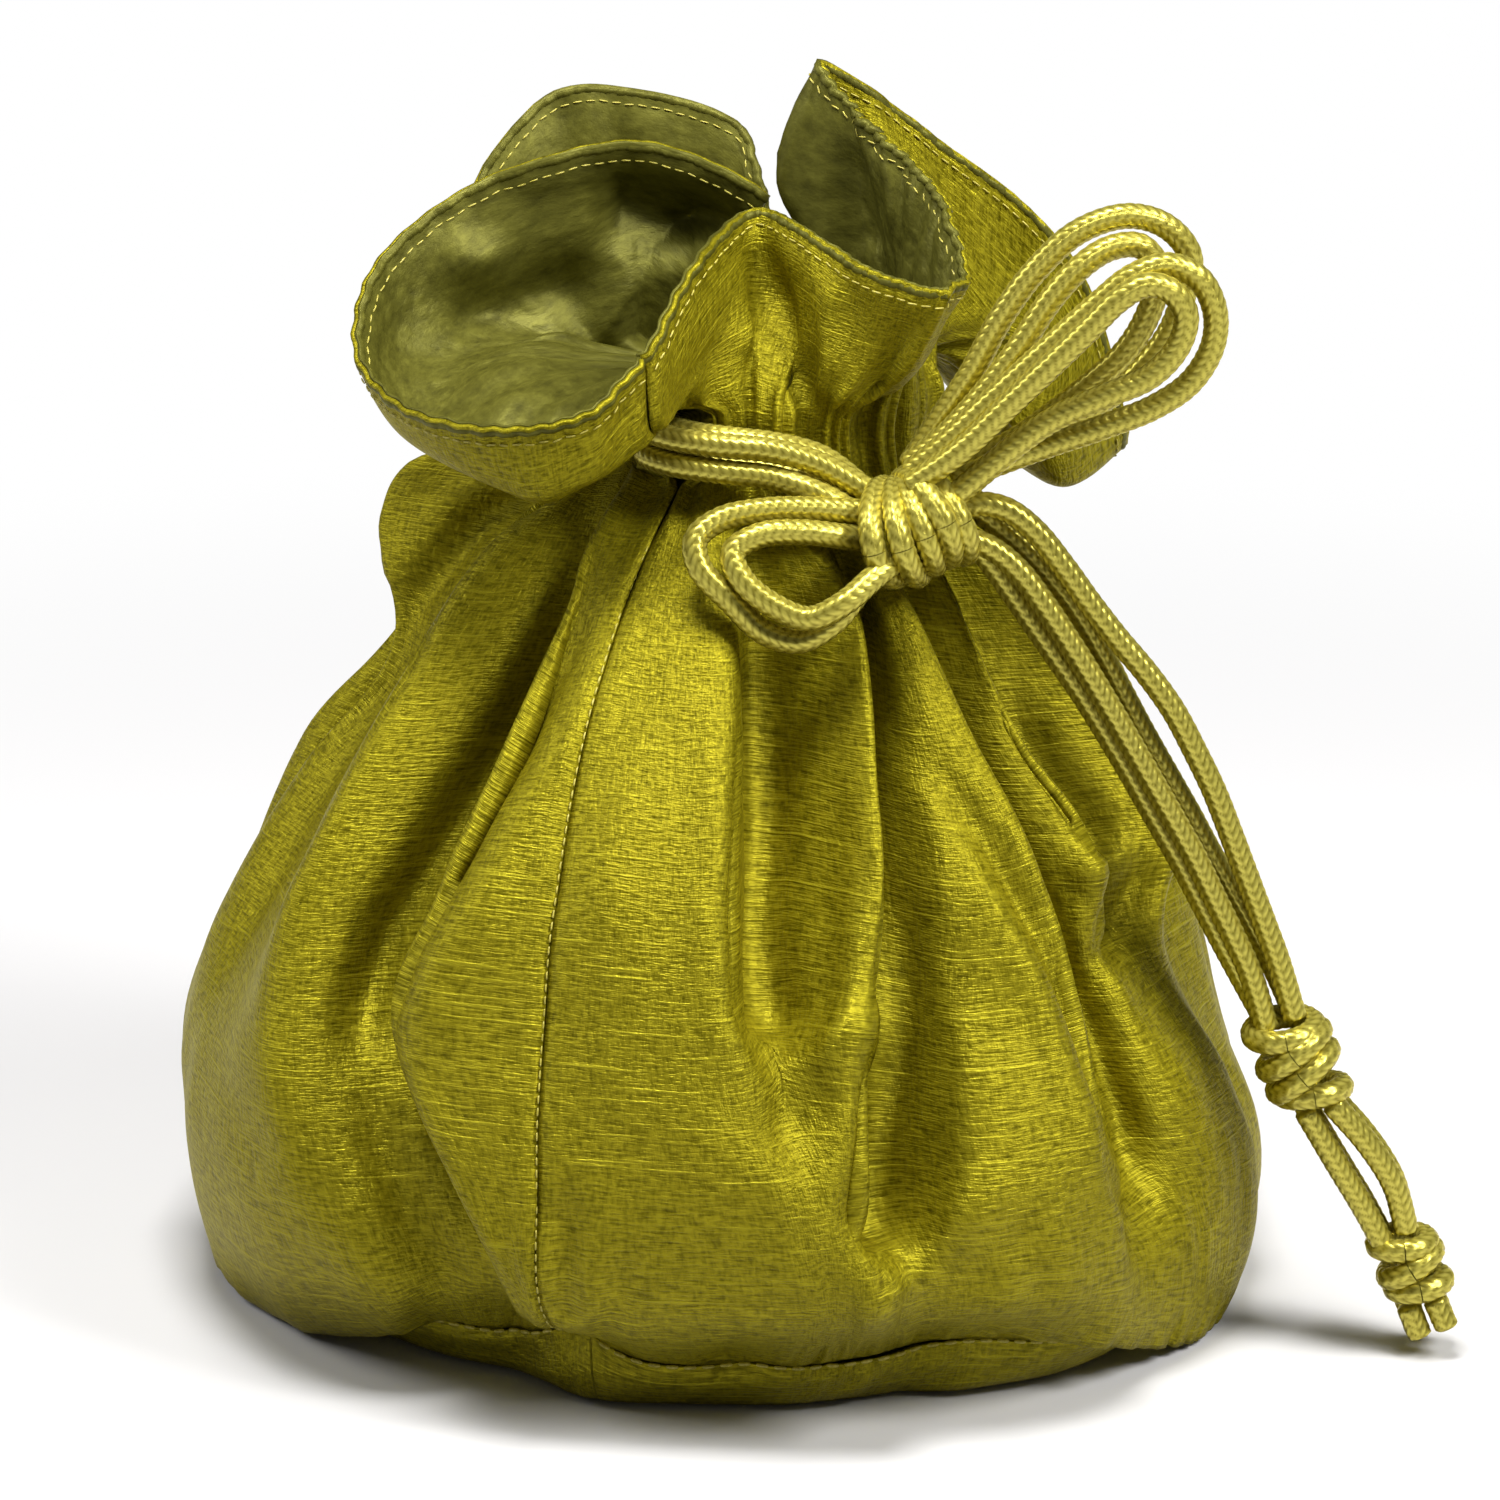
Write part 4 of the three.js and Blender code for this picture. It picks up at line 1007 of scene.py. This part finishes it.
# How far and how fully one crease reaches each place in the picture
def creaseDepth(x, y, crease):
    line = np.array(crease["line"], float)
    best = np.full(x.shape, 1e9)
    fade = np.zeros(x.shape)
    travelled = distanceAlong(line)
    for (ax, ay), (bx, by), start in zip(line, line[1:], travelled):
        length = math.hypot(bx - ax, by - ay)
        share = np.clip(((x - ax) * (bx - ax) + (y - ay) * (by - ay)) / length ** 2, 0, 1)
        distance = np.hypot(x - ax - share * (bx - ax), y - ay - share * (by - ay))
        along = (start + share * length) / travelled[-1]
        closer = distance < best
        best = np.where(closer, distance, best)
        ends = 1 - smoothstep(along, 1 - crease["ends"], 1)
        fade = np.where(closer, smoothstep(along, *creaseShape["fadeIn"]) * ends, fade)
    reach = best / crease["width"]
    rim = creaseShape["rim"] * np.exp(-((reach - creaseShape["rimAt"]) / creaseShape["rimWidth"]) ** 2)
    return crease["depth"] * fade * (np.exp(-reach ** 2) - rim)


# How far the creases push each point in, where it faces the photograph's camera
def pressCreases(points, normals, rows, around):
    reach = creaseReach
    x, y = pictureCoordinates(points)
    facing = normals @ viewDirection
    row = rows[:, None]
    body = smoothstep(facing, 0, reach["facing"]) * (row < neckRow)
    pushed = sum(creaseDepth(x, y, crease) for crease in creases.values()) * body
    fromFront = foldsFromFront(around)
    hemward = smoothstep(row, *reach["hemRows"])
    ruffle = smoothstep(row, *reach["ruffleRows"]) * (1 - reach["hemLoss"] * hemward)
    for crease in ruffleCreases.values():
        first, last = crease["folds"]
        sign = -1 if crease.get("inside") else 1
        near = bumpBetween(fromFront, first, first + reach["foldEdge"], last - reach["foldEdge"], last)
        seen = smoothstep(facing * sign, 0, reach["liningFacing"])
        pushed = pushed + sign * creaseDepth(x, y, crease) * near * seen * ruffle
    return pushed


seamLifts = [
    {"angle": -19.5, "width": 6.5, "rise": 4.3, "pinch": 1.4},
    {"angle": 31.0, "width": 7.0, "rise": 1.8, "pinch": 0.6},
    {"angle": -29.0, "width": 3.0, "rise": 0.7, "pinch": 0.8},
    {"angle": 3.0, "width": 4.0, "rise": 0.6, "pinch": 0.5},
]


def degreesFromFront(points):
    return np.degrees(np.arctan2(points[..., 0], -points[..., 1]))


# The base seam isn't level: it is drawn up and in where the cloth is caught in it
def liftSeam(points, share):
    angle = degreesFromFront(points)
    lifted = points.copy()
    for lift in seamLifts:
        amount = np.exp(-((angle - lift["angle"]) / lift["width"]) ** 2) * share
        lifted[..., 2] += lift["rise"] * amount
        radius = np.maximum(np.hypot(points[..., 0], points[..., 1]), 1)
        for k in (0, 1):
            lifted[..., k] -= points[..., k] / radius * lift["pinch"] * amount
    return lifted


overhang = {"from": 30.0, "full": 66.0, "drop": 11.0, "lowest": 0.9, "rows": (0, 0.22, 0.22, 1.5)}


# Beside the front the full cloth bulges down over the base seam and rests on the floor
def hangOver(points, row):
    share = smoothstep(np.abs(degreesFromFront(points)), overhang["from"], overhang["full"])
    drop = overhang["drop"] * share * bumpBetween(row, *overhang["rows"])
    lowered = points.copy()
    lowered[..., 2] = np.maximum(points[..., 2] - drop, overhang["lowest"])
    return lowered


ruffleDrape = {"drop": 5.0, "out": 2.5, "folds": (-2.6, -1.4, 0.2, 1.6), "rows": (9.9, 10.7, 10.8, 11.9)}


# Above the way out of the cords the ruffle bulges out and hangs over them
def drapeRuffle(points, row, around):
    near = bumpBetween(foldsFromFront(around), *ruffleDrape["folds"])
    amount = near * bumpBetween(row, *ruffleDrape["rows"])
    draped = points.copy()
    draped[..., 2] -= ruffleDrape["drop"] * amount
    draped[..., 1] -= ruffleDrape["out"] * amount
    return draped


# Waves in the cloth: their height in millimetres, and how many there are per fold and level
clothWaves = {
    "drag": {"height": 0.5, "around": 0.42, "up": 0.26, "lean": 0.12, "seed": 3, "count": 9},
    "fine": {"height": 0.13, "around": 1.6, "up": 0.9, "lean": 0, "seed": 8, "count": 12},
    "basePucker": {"height": 0.4, "around": 3.4, "up": 0.7, "lean": 0, "seed": 5, "count": 9},
    "ruffle": {"height": 0.35, "around": 0.9, "up": 0.5, "lean": 0, "seed": 12, "count": 9},
    "crinkle": {"height": 0.16, "around": 6, "up": 4.5, "lean": 0, "seed": 21, "count": 12},
    "fineCrinkle": {"height": 0.12, "around": 14, "up": 10, "lean": 0, "seed": 22, "count": 12},
}


def clothWave(kind, around, row):
    wave = clothWaves[kind]
    up = row * wave["up"] + around * wave["lean"]
    return wave["height"] * ripples(around * wave["around"], up, wave["seed"], wave["count"])


clothLook = {
    "gather": 0.55,
    "gathersPerFold": 1.5,
    "gatherWander": 0.22,
    "wanderPerFold": 2.3,
    "gatherRows": (6.3, 7.9, 8.9, 11),
    "bodyRows": (0.1, 1.5, 6.5, 8),
    "fineAtEdges": 0.4,
    "puckerRows": (0, 0.12, 0.0, 0.75),
    "baseSeamDepth": 0.2,
    "baseSeamWidth": 0.8,
    "seamDepth": 0.55,
    "seamWidth": 0.7,
    "seamReach": 50,
    "bead": 0.13,
    "beadPitch": 2.3,
    "beadAt": 1.9,
    "beadWidth": 1.1,
    "openRows": (7.6, 7.9, 9, 9.5),
    "allowance": 0.15,
    "allowanceAt": 2.4,
    "allowanceWidth": 1.4,
    "hemPucker": 0.22,
    "hemPuckersPerFold": 4.3,
    "hemWidth": 2.6,
    "ruffleRows": (9.2, 10.5),
    "liftRows": (0, 0.9),
}


# The gathers, wrinkles, creases and sewn edges that the folds alone don't have
def dressCloth(points, rows, places):
    look = clothLook
    normals = gridNormals(points)
    row = rows[:, None]
    around = np.broadcast_to(places, points.shape[:2])
    along = arcLengths(points, 0)
    fromSeam = np.minimum(arcFromSeam(points, around), look["seamReach"])
    body = bumpBetween(row, *look["bodyRows"])
    wander = look["gatherWander"] * np.sin(around * look["wanderPerFold"])
    gathers = np.sin(2 * math.pi * (around * look["gathersPerFold"] + wander))
    push = look["gather"] * gathers * bumpBetween(row, *look["gatherRows"])
    push = push + clothWave("drag", around, row) * body
    push = push + clothWave("fine", around, row) * mixed(look["fineAtEdges"], 1, body)
    push = push + clothWave("basePucker", around, row) * bumpBetween(row, *look["puckerRows"])
    push = push - look["baseSeamDepth"] * np.exp(-(along / look["baseSeamWidth"]) ** 2)
    push = push - look["seamDepth"] * np.exp(-(fromSeam / look["seamWidth"]) ** 2)
    beads = np.sin(2 * math.pi * along / look["beadPitch"])
    beads = beads * np.exp(-((fromSeam - look["beadAt"]) / look["beadWidth"]) ** 2)
    push = push + look["bead"] * beads * (1 - bumpBetween(row, *look["openRows"]))
    allowance = np.exp(-((fromSeam - look["allowanceAt"]) / look["allowanceWidth"]) ** 2)
    push = push + look["allowance"] * allowance
    puckers = np.sin(around * 2 * math.pi * look["hemPuckersPerFold"])
    push = push + look["hemPucker"] * puckers * np.exp(-((along[-1:] - along) / look["hemWidth"]) ** 2)
    push = push + clothWave("ruffle", around, row) * smoothstep(row, *look["ruffleRows"])
    push = push - pressCreases(points, normals, rows, around)
    draped = drapeRuffle(points, row, around)
    lifted = liftSeam(draped + normals * push[..., None], 1 - smoothstep(row, *look["liftRows"]))
    return hangOver(lifted, row)


# Places from one stop to the next, each stretch with its own number of steps
def unevenSteps(stretches):
    parts = [np.linspace(start, end, steps, endpoint=False) for start, end, steps in stretches]
    return np.concatenate([*parts, [stretches[-1][1]]])


clothRows = unevenSteps([(0, 1, 18), (1, 7, 66), (7, 9.4, 26), (9.4, 12, 34)])
panels = {
    "right": unevenSteps([(0, 1, 26), (1, 12, 208), (12, 21.5, 84)]),
    "left": unevenSteps([(21.5, 27, 54), (27, 34, 140), (34, 35, 26)]),
}
thickness = {"silk": 0.0006, "satin": 0.0004}


def solidify(made, cloth):
    modifier = made.modifiers.new("thickness", "SOLIDIFY")
    modifier.thickness = thickness[cloth]
    modifier.offset = -1


def clothUvs(points):
    across = arcLengths(points, 1).mean(axis=0, keepdims=True).repeat(len(points), 0)
    up = arcLengths(points, 0).mean(1, keepdims=True).repeat(points.shape[1], 1)
    return np.stack([across, up], -1) * mm


def sheetArea(points):
    a = points[1:, :-1] - points[:-1, :-1]
    b = points[:-1, 1:] - points[:-1, :-1]
    return float(np.linalg.norm(np.cross(a, b), axis=2).sum())


silkSheets = {}
for side, places in panels.items():
    base = clothPoints(clothRows, openSlot(places[None, :], clothRows))
    dressed = dressCloth(base, clothRows, places[None, :])
    silkSheets[side] = dressed, gridNormals(dressed)
    made = meshObject("silk_panel_" + side, dressed.reshape(-1, 3), gridFaces(*dressed.shape[:2]), silk,
                      clothUvs(base).reshape(-1, 2))
    solidify(made, "silk")
    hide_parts("outer_panel_" + side)
    print("silk", side, "area", round(sheetArea(dressed) / 100), "square cm")


# The lining, loose inside the body, drawn inside the cord at the neck and turned out at the hem
liningLook = {
    "depth": 1.15,
    "hemDepth": 0.75,
    "hemRows": (11.6, 12),
    "looseUntil": (7.6, 8.6),
    "looseReach": (9, 26),
    "looseGap": 2.2,
    "valleyGap": 2.0,
    "floor": 2.5,
    "casingRadius": 15.8,
    "pleat": 1.5,
    "pleatShare": 0.5,
    "pleatMiddle": 1.35,
    "drawnRows": (7, 8, 9, 9.45),
    "crinkleRows": (9.3, 10, 11.5, 11.9),
}


# One measure of each window of a grid, along an axis
def windowed(grid, reach, axis, measure):
    pad = [(0, 0), (0, 0)]
    pad[axis] = (reach, reach)
    padded = np.pad(grid, pad, mode="edge")
    count = grid.shape[axis]
    return measure([padded.take(range(k, k + count), axis) for k in range(2 * reach + 1)], axis=0)


# Inside the body the lining hangs smooth, in from the deepest folds near it
def looseInside(base, dressed):
    shift = np.interp(clothRows, np.arange(len(levels)), [level[2] for level in levels])[:, None]
    x, y = dressed[..., 0] - shift, dressed[..., 1]
    radius = np.hypot(x, y)
    rowReach, reach = liningLook["looseReach"]
    low = windowed(radius, reach, 1, np.min)
    low = windowed(low, rowReach, 0, np.min)
    low = windowed(low, reach, 1, np.mean)
    scale = (np.minimum(low, radius - liningLook["valleyGap"]) - liningLook["looseGap"]) / radius
    return np.stack([x * scale + shift, y * scale, np.maximum(base[..., 2], liningLook["floor"])], -1)


# At the neck the cord draws it in, with pleats shallower than the silk's
def drawnIn(front, row):
    centre = np.array([*neckCentre, 0])
    radial = front - centre
    radial[..., 2] = 0
    distance = np.linalg.norm(radial, axis=2, keepdims=True)
    radial /= distance
    depth = distance - neckRadius + liningLook["pleatMiddle"]
    pleat = np.clip(depth, -liningLook["pleat"], liningLook["pleat"])
    drawn = radial * (liningLook["casingRadius"] + (pleat - liningLook["pleat"]) * liningLook["pleatShare"])
    drawn = drawn + centre
    drawn[..., 2] = front[..., 2]
    return mixed(front, drawn, bumpBetween(row, *liningLook["drawnRows"])[..., None])


for side, places in panels.items():
    base = clothPoints(clothRows, places[None, :])
    dressed = dressCloth(base, clothRows, places[None, :])
    row = clothRows[:, None]
    deeper = mixed(liningLook["depth"], liningLook["hemDepth"], smoothstep(row, *liningLook["hemRows"]))
    front = dressed - gridNormals(base) * deeper[..., None]
    front = mixed(looseInside(base, dressed), front, smoothstep(row, *liningLook["looseUntil"])[..., None])
    front = drawnIn(front, row)
    around = np.broadcast_to(places, front.shape[:2])
    crinkle = clothWave("crinkle", around, row) + clothWave("fineCrinkle", around, row)
    crinkle = crinkle * bumpBetween(row, *liningLook["crinkleRows"])
    front = front - gridNormals(front) * np.abs(crinkle)[..., None]
    made = meshObject("satin_lining_" + side, front.reshape(-1, 3), gridFaces(*front.shape[:2]), satin,
                      clothUvs(base).reshape(-1, 2))
    solidify(made, "satin")
    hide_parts("lining_panel_" + side)
    print("lining", side, "area", round(sheetArea(front) / 100), "square cm")


# Rolled edge of satin round the mouth, and its stitches
hemLook = {
    "radius": 0.75,
    "sides": 14,
    "step": 0.4,
    "inside": 0.6,
    "below": 0.9,
    "pucker": 0.06,
    "pitch": 1.7,
    "wander": 0.06,
    "wanderPitch": 9,
    "wanderTurn": 1.2,
    "seed": 14,
}
hemStitch = {"length": 1.4, "gap": 0.6, "radius": 0.13, "fromEdge": 2.6, "outerLift": 0.1,
             "innerDepth": 1.35}
stitchShape = {
    "sides": 6,
    "lookAhead": 0.4,
    "lift": 0.9,
    "profile": [(-0.5, 0.25), (-0.42, 0.8), (-0.2, 1.0), (0.2, 1.0), (0.42, 0.8), (0.5, 0.25)],
}


# A line along the mouth, this far below the hem and inside the silk's face
def hemLine(depth, below):
    parts = []
    for side in ("right", "left"):
        dressed, normals = silkSheets[side]
        along = arcLengths(dressed, 0)
        fromHem = along[-1:] - along
        inside = (dressed - normals * depth)[::-1]
        points = [[np.interp(below, fromHem[::-1, i], inside[:, i, k]) for k in range(3)]
                  for i in range(dressed.shape[1])]
        parts.append(np.array(points)[:-1])
    line = np.concatenate(parts)
    return np.concatenate([line, line[:1]])


def makeRolledHem():
    look = hemLook
    line = evenly(hemLine(look["inside"], look["below"]), look["step"])
    walked = np.arange(len(line)) * look["step"]
    wander = ripples(walked / look["wanderPitch"], walked * 0, look["seed"])
    puckers = np.sin(2 * math.pi * walked / look["pitch"] + wander * look["wanderTurn"])
    radii = look["radius"] * (1 + look["pucker"] * puckers + look["wander"] * wander)
    sides, ups = tubeFrames(line)
    turned = (np.arange(len(line)) / (len(line) - 1))[:, None]
    theta = np.arange(look["sides"])[None, :] / look["sides"] * 2 * math.pi
    theta = theta + turned * closingTwist(line, sides)
    points = tubePoints(line, sides, ups, theta, radii[:, None])
    uvs = np.stack(np.broadcast_arrays(theta * radii.mean() * mm, distanceAlong(line)[:, None] * mm), -1)
    made = meshObject("rolled_hem", points.reshape(-1, 3), gridFaces(len(line), look["sides"], True), satin,
                      uvs.reshape(-1, 2))
    return made


# Short rounded dashes of thread laid along a line on the cloth
def stitchRow(name, line, outward, look):
    travelled = distanceAlong(line)
    pitch = look["length"] + look["gap"]
    at = np.arange(pitch, travelled[-1] - pitch, pitch)
    place = valuesAt(at, travelled, line)
    tangent = valuesAt(at + stitchShape["lookAhead"], travelled, line) - place
    tangent /= np.linalg.norm(tangent, axis=1, keepdims=True)
    out = valuesAt(at, travelled, outward)
    out -= tangent * np.sum(out * tangent, 1, keepdims=True)
    out /= np.linalg.norm(out, axis=1, keepdims=True)
    across = np.cross(tangent, out)
    sides, radius = stitchShape["sides"], look["radius"]
    points, faces = [], []
    for i in range(len(at)):
        start = len(points)
        for along, size in stitchShape["profile"]:
            lift = radius * (stitchShape["lift"] - abs(along))
            centre = place[i] + tangent[i] * along * look["length"] + out[i] * lift
            for k in range(sides):
                angle = k / sides * 2 * math.pi
                ray = out[i] * math.cos(angle) + across[i] * math.sin(angle)
                points.append(centre + ray * radius * size)
        rings = len(stitchShape["profile"])
        for j in range(rings - 1):
            for k in range(sides):
                a, b = start + j * sides + k, start + j * sides + (k + 1) % sides
                faces.append([a, b, b + sides, a + sides])
        faces.append([start + k for k in range(sides)][::-1])
        faces.append([start + (rings - 1) * sides + k for k in range(sides)])
    made = meshObject(name, points, faces, thread)
    return made


rolledHem = makeRolledHem()
outerLine = hemLine(-hemStitch["outerLift"], hemStitch["fromEdge"])
innerLine = hemLine(hemStitch["innerDepth"], hemStitch["fromEdge"])
hemStitches = [stitchRow("hem_stitches_outside", outerLine, outerLine - innerLine, hemStitch),
               stitchRow("hem_stitches_inside", innerLine, innerLine - outerLine, hemStitch)]

print("cloth: panels, lining, hem")


# The base, from its floor up its rounded edge to the seam, as shares of the seam's outline
# and heights
baseLook = {
    "profile": [(0.5, 0.05), (floorShare, 0.05), (0.895, 0.5), (0.925, 1.5), (0.948, 2.8), (0.968, 4.4),
                (0.986, 6.2), (0.995, 7.8), (0.9975, 8.9)],
    "rings": 49,
    "turns": 700,
    "bottom": 0.05,
    "pucker": 0.28,
    "puckersPerFold": 3.4,
    "puckerUp": 0.2,
    "puckerSeed": 5,
    "puckerWidth": 3.2,
    "flushWidth": 1.2,
    "swell": 0.2,
    "swellsPerFold": 0.8,
    "swellUp": 0.1,
    "swellSeed": 9,
    "liftHeights": (1.5, 8.5),
    "mapStart": 300,
}
satinBaseLook = {"turns": 140, "floor": 1.6,
                 "rings": [(0.5, 1.6), (0.83, 1.6), (0.88, 2.4), (0.92, 4.2), (0.935, 6.5), (0.94, 8.6)]}
baseStitch = {"length": 1.8, "gap": 0.8, "radius": 0.3, "ring": -3, "rise": 12, "outward": 0.85, "up": 0.45}


def seamOutline(turns):
    return clothPoints(np.array([0.0]), np.arange(turns)[None, :] / turns * foldCount)[0]


# Triangles that close the innermost ring of a grid round its centre
def closeMiddle(count, centre):
    return [[(i + 1) % count, i, centre] for i in range(count)]


def makeSilkBase():
    look = baseLook
    count = look["turns"]
    outline = seamOutline(count)
    profile = np.array(look["profile"])
    curve = catmullRom(np.c_[profile * [seamRadius, 1], np.zeros(len(profile))],
                       np.linspace(0, len(profile) - 1, look["rings"]))
    turns = np.arange(count) / count * foldCount
    arc = distanceAlong(curve)
    length = np.linalg.norm(outline[:, :2], axis=1)
    points = []
    for (radius, z, _), travelled in zip(curve, arc):
        share = radius / seamRadius
        fromTop = arc[-1] - travelled
        nearSeam = math.exp(-(fromTop / look["puckerWidth"]) ** 2)
        nearSeam = nearSeam * smoothstep(fromTop, 0, look["flushWidth"])
        puckers = ripples(turns * look["puckersPerFold"], turns * 0 + look["puckerUp"], look["puckerSeed"])
        up = turns * 0 + travelled * look["swellUp"]
        swells = ripples(turns * look["swellsPerFold"], up, look["swellSeed"])
        wave = look["pucker"] * puckers * nearSeam + look["swell"] * swells * (share > floorShare)
        scale = share + wave / length
        height = np.full(count, max(z, look["bottom"]))
        points.append(np.c_[outline[:, 0] * scale, outline[:, 1] * scale, height])
    points = np.array(points)
    points = liftSeam(points, smoothstep(points[..., 2], *look["liftHeights"]))
    around = np.arange(count) / count * 2 * math.pi * seamRadius
    uvs = np.stack(np.broadcast_arrays(around[None, :] * mm, (arc[:, None] + look["mapStart"]) * mm), -1)
    uvs = np.concatenate([uvs.reshape(-1, 2), [[0, look["mapStart"] * mm]]])
    flat = np.concatenate([points.reshape(-1, 3), [[0, 0, look["bottom"]]]])
    faces = gridFaces(len(points), count, True) + closeMiddle(count, len(flat) - 1)
    made = meshObject("silk_base", flat, faces, silk, uvs)
    solidify(made, "silk")
    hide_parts("base_panel")
    return points


# The satin under it, set in from the silk
def makeSatinBase():
    look = satinBaseLook
    count = look["turns"]
    outline = seamOutline(count)
    rings = [np.c_[outline[:, :2] * share, np.full(count, z)] for share, z in look["rings"]]
    points = np.concatenate([*rings, [[0, 0, look["floor"]]]])
    faces = gridFaces(len(look["rings"]), count, True) + closeMiddle(count, len(points) - 1)
    made = meshObject("satin_base", points, faces, satin, points[:, :2] * mm)
    solidify(made, "satin")
    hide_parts("lining_base")


def makeBaseStitches(ring):
    closed = np.concatenate([ring, ring[:1]])
    outwards = closed.copy()
    outwards[:, 2] = baseStitch["rise"]
    lifted = closed + outwards / np.linalg.norm(outwards, axis=1, keepdims=True) * baseStitch["outward"]
    stitchRow("base_stitches", lifted + [0, 0, baseStitch["up"]], outwards, baseStitch)


makeSatinBase()
makeBaseStitches(makeSilkBase()[baseStitch["ring"]])


# The front seam's own stitches, drawn tight into it
seamStitch = {"length": 1.2, "gap": 0.55, "radius": 0.13, "outward": 0.25, "rows": (0.03, 7.65)}


def makeSeamStitches():
    dressed, normals = silkSheets["right"]
    first, last = seamStitch["rows"]
    keep = (clothRows > first) & (clothRows < last)
    outward = normals[keep, 0]
    line = dressed[keep, 0] + outward * seamStitch["outward"]
    stitchRow("front_seam_stitches", line, outward, seamStitch)


makeSeamStitches()
print("base: floor, edge, stitches")


# Studio: a pale floor that fades into a white world
stageLook = {
    "floor": (0.8, 0.79, 0.79),
    "bounce": (0.2, 0.195, 0.18),
    "plain": {"Roughness": 0.9, "Specular IOR Level": 0.1},
    "halfWidth": 6,
    "fade": (0.13, 0.5),
    "world": 0.08,
    "lamps": {
        "left_softbox": {"place": (-0.8, 0.0, 0.7), "target": (0, 0, 0.09),
                        "size": (0.3, 0.5), "watts": 3.3},
        "right_softbox": {"place": (0.6, -0.4, 0.75), "target": (0, 0, 0.08),
                         "size": (0.3, 0.4), "watts": 7.6},
        "top_softbox": {"place": (-0.05, -0.2, 1.0), "target": (0, 0, 0.06),
                       "size": (0.35, 0.3), "watts": 9.2},
    },
}


def areaLight(name, place, target, size, watts):
    light = bpy.data.lights.new(name, "AREA")
    light.shape = "RECTANGLE"
    light.size, light.size_y = size
    light.energy = watts
    made = bpy.data.objects.new(name, light)
    made.location = place
    made.rotation_euler = (Vector(target) - Vector(place)).to_track_quat("-Z", "Y").to_euler()
    bpy.context.scene.collection.objects.link(made)


# Seen by the camera and in reflections the floor is pale and turns white with distance; the
# light it throws back on the pouch is that of a duller floor
def makeFloorMaterial():
    material, tree, shader = newMaterial("floor", stageLook["plain"])
    nodes, links = tree.nodes, tree.links
    coordinates = nodes.new("ShaderNodeTexCoord")
    length = nodes.new("ShaderNodeVectorMath")
    length.operation = "LENGTH"
    links.new(coordinates.outputs["Object"], length.inputs[0])
    away = nodes.new("ShaderNodeMapRange")
    away.interpolation_type = "SMOOTHSTEP"
    away.inputs["From Min"].default_value, away.inputs["From Max"].default_value = stageLook["fade"]
    links.new(length.outputs["Value"], away.inputs["Value"])
    path = nodes.new("ShaderNodeLightPath")
    seen = addMath(tree, "MAXIMUM", path.outputs["Is Camera Ray"], path.outputs["Is Glossy Ray"])
    seen = addMath(tree, "MAXIMUM", seen, path.outputs["Is Transmission Ray"])
    pale = mixColors(tree, seen, stageLook["bounce"], stageLook["floor"])
    links.new(pale, shader.inputs["Base Color"])
    white = nodes.new("ShaderNodeEmission")
    mix = nodes.new("ShaderNodeMixShader")
    links.new(addMath(tree, "MULTIPLY", away.outputs[0], seen), mix.inputs[0])
    links.new(shader.outputs[0], mix.inputs[1])
    links.new(white.outputs[0], mix.inputs[2])
    links.new(mix.outputs[0], nodes["Material Output"].inputs["Surface"])
    return material


def makeStage():
    mesh = bmesh.new()
    bmesh.ops.create_grid(mesh, x_segments=1, y_segments=1, size=stageLook["halfWidth"])
    data = bpy.data.meshes.new("studio_floor")
    mesh.to_mesh(data)
    mesh.free()
    data.materials.append(makeFloorMaterial())
    floor = bpy.data.objects.new("studio_floor", data)
    bpy.context.scene.collection.objects.link(floor)
    world = bpy.context.scene.world or bpy.data.worlds.new("world")
    bpy.context.scene.world = world
    world.use_nodes = True
    soft = world.node_tree.nodes["Background"]
    soft.inputs["Color"].default_value = (1, 1, 1, 1)
    soft.inputs["Strength"].default_value = stageLook["world"]
    for name, lamp in stageLook["lamps"].items():
        areaLight(name, **lamp)


makeStage()
print("stage: floor, lights")
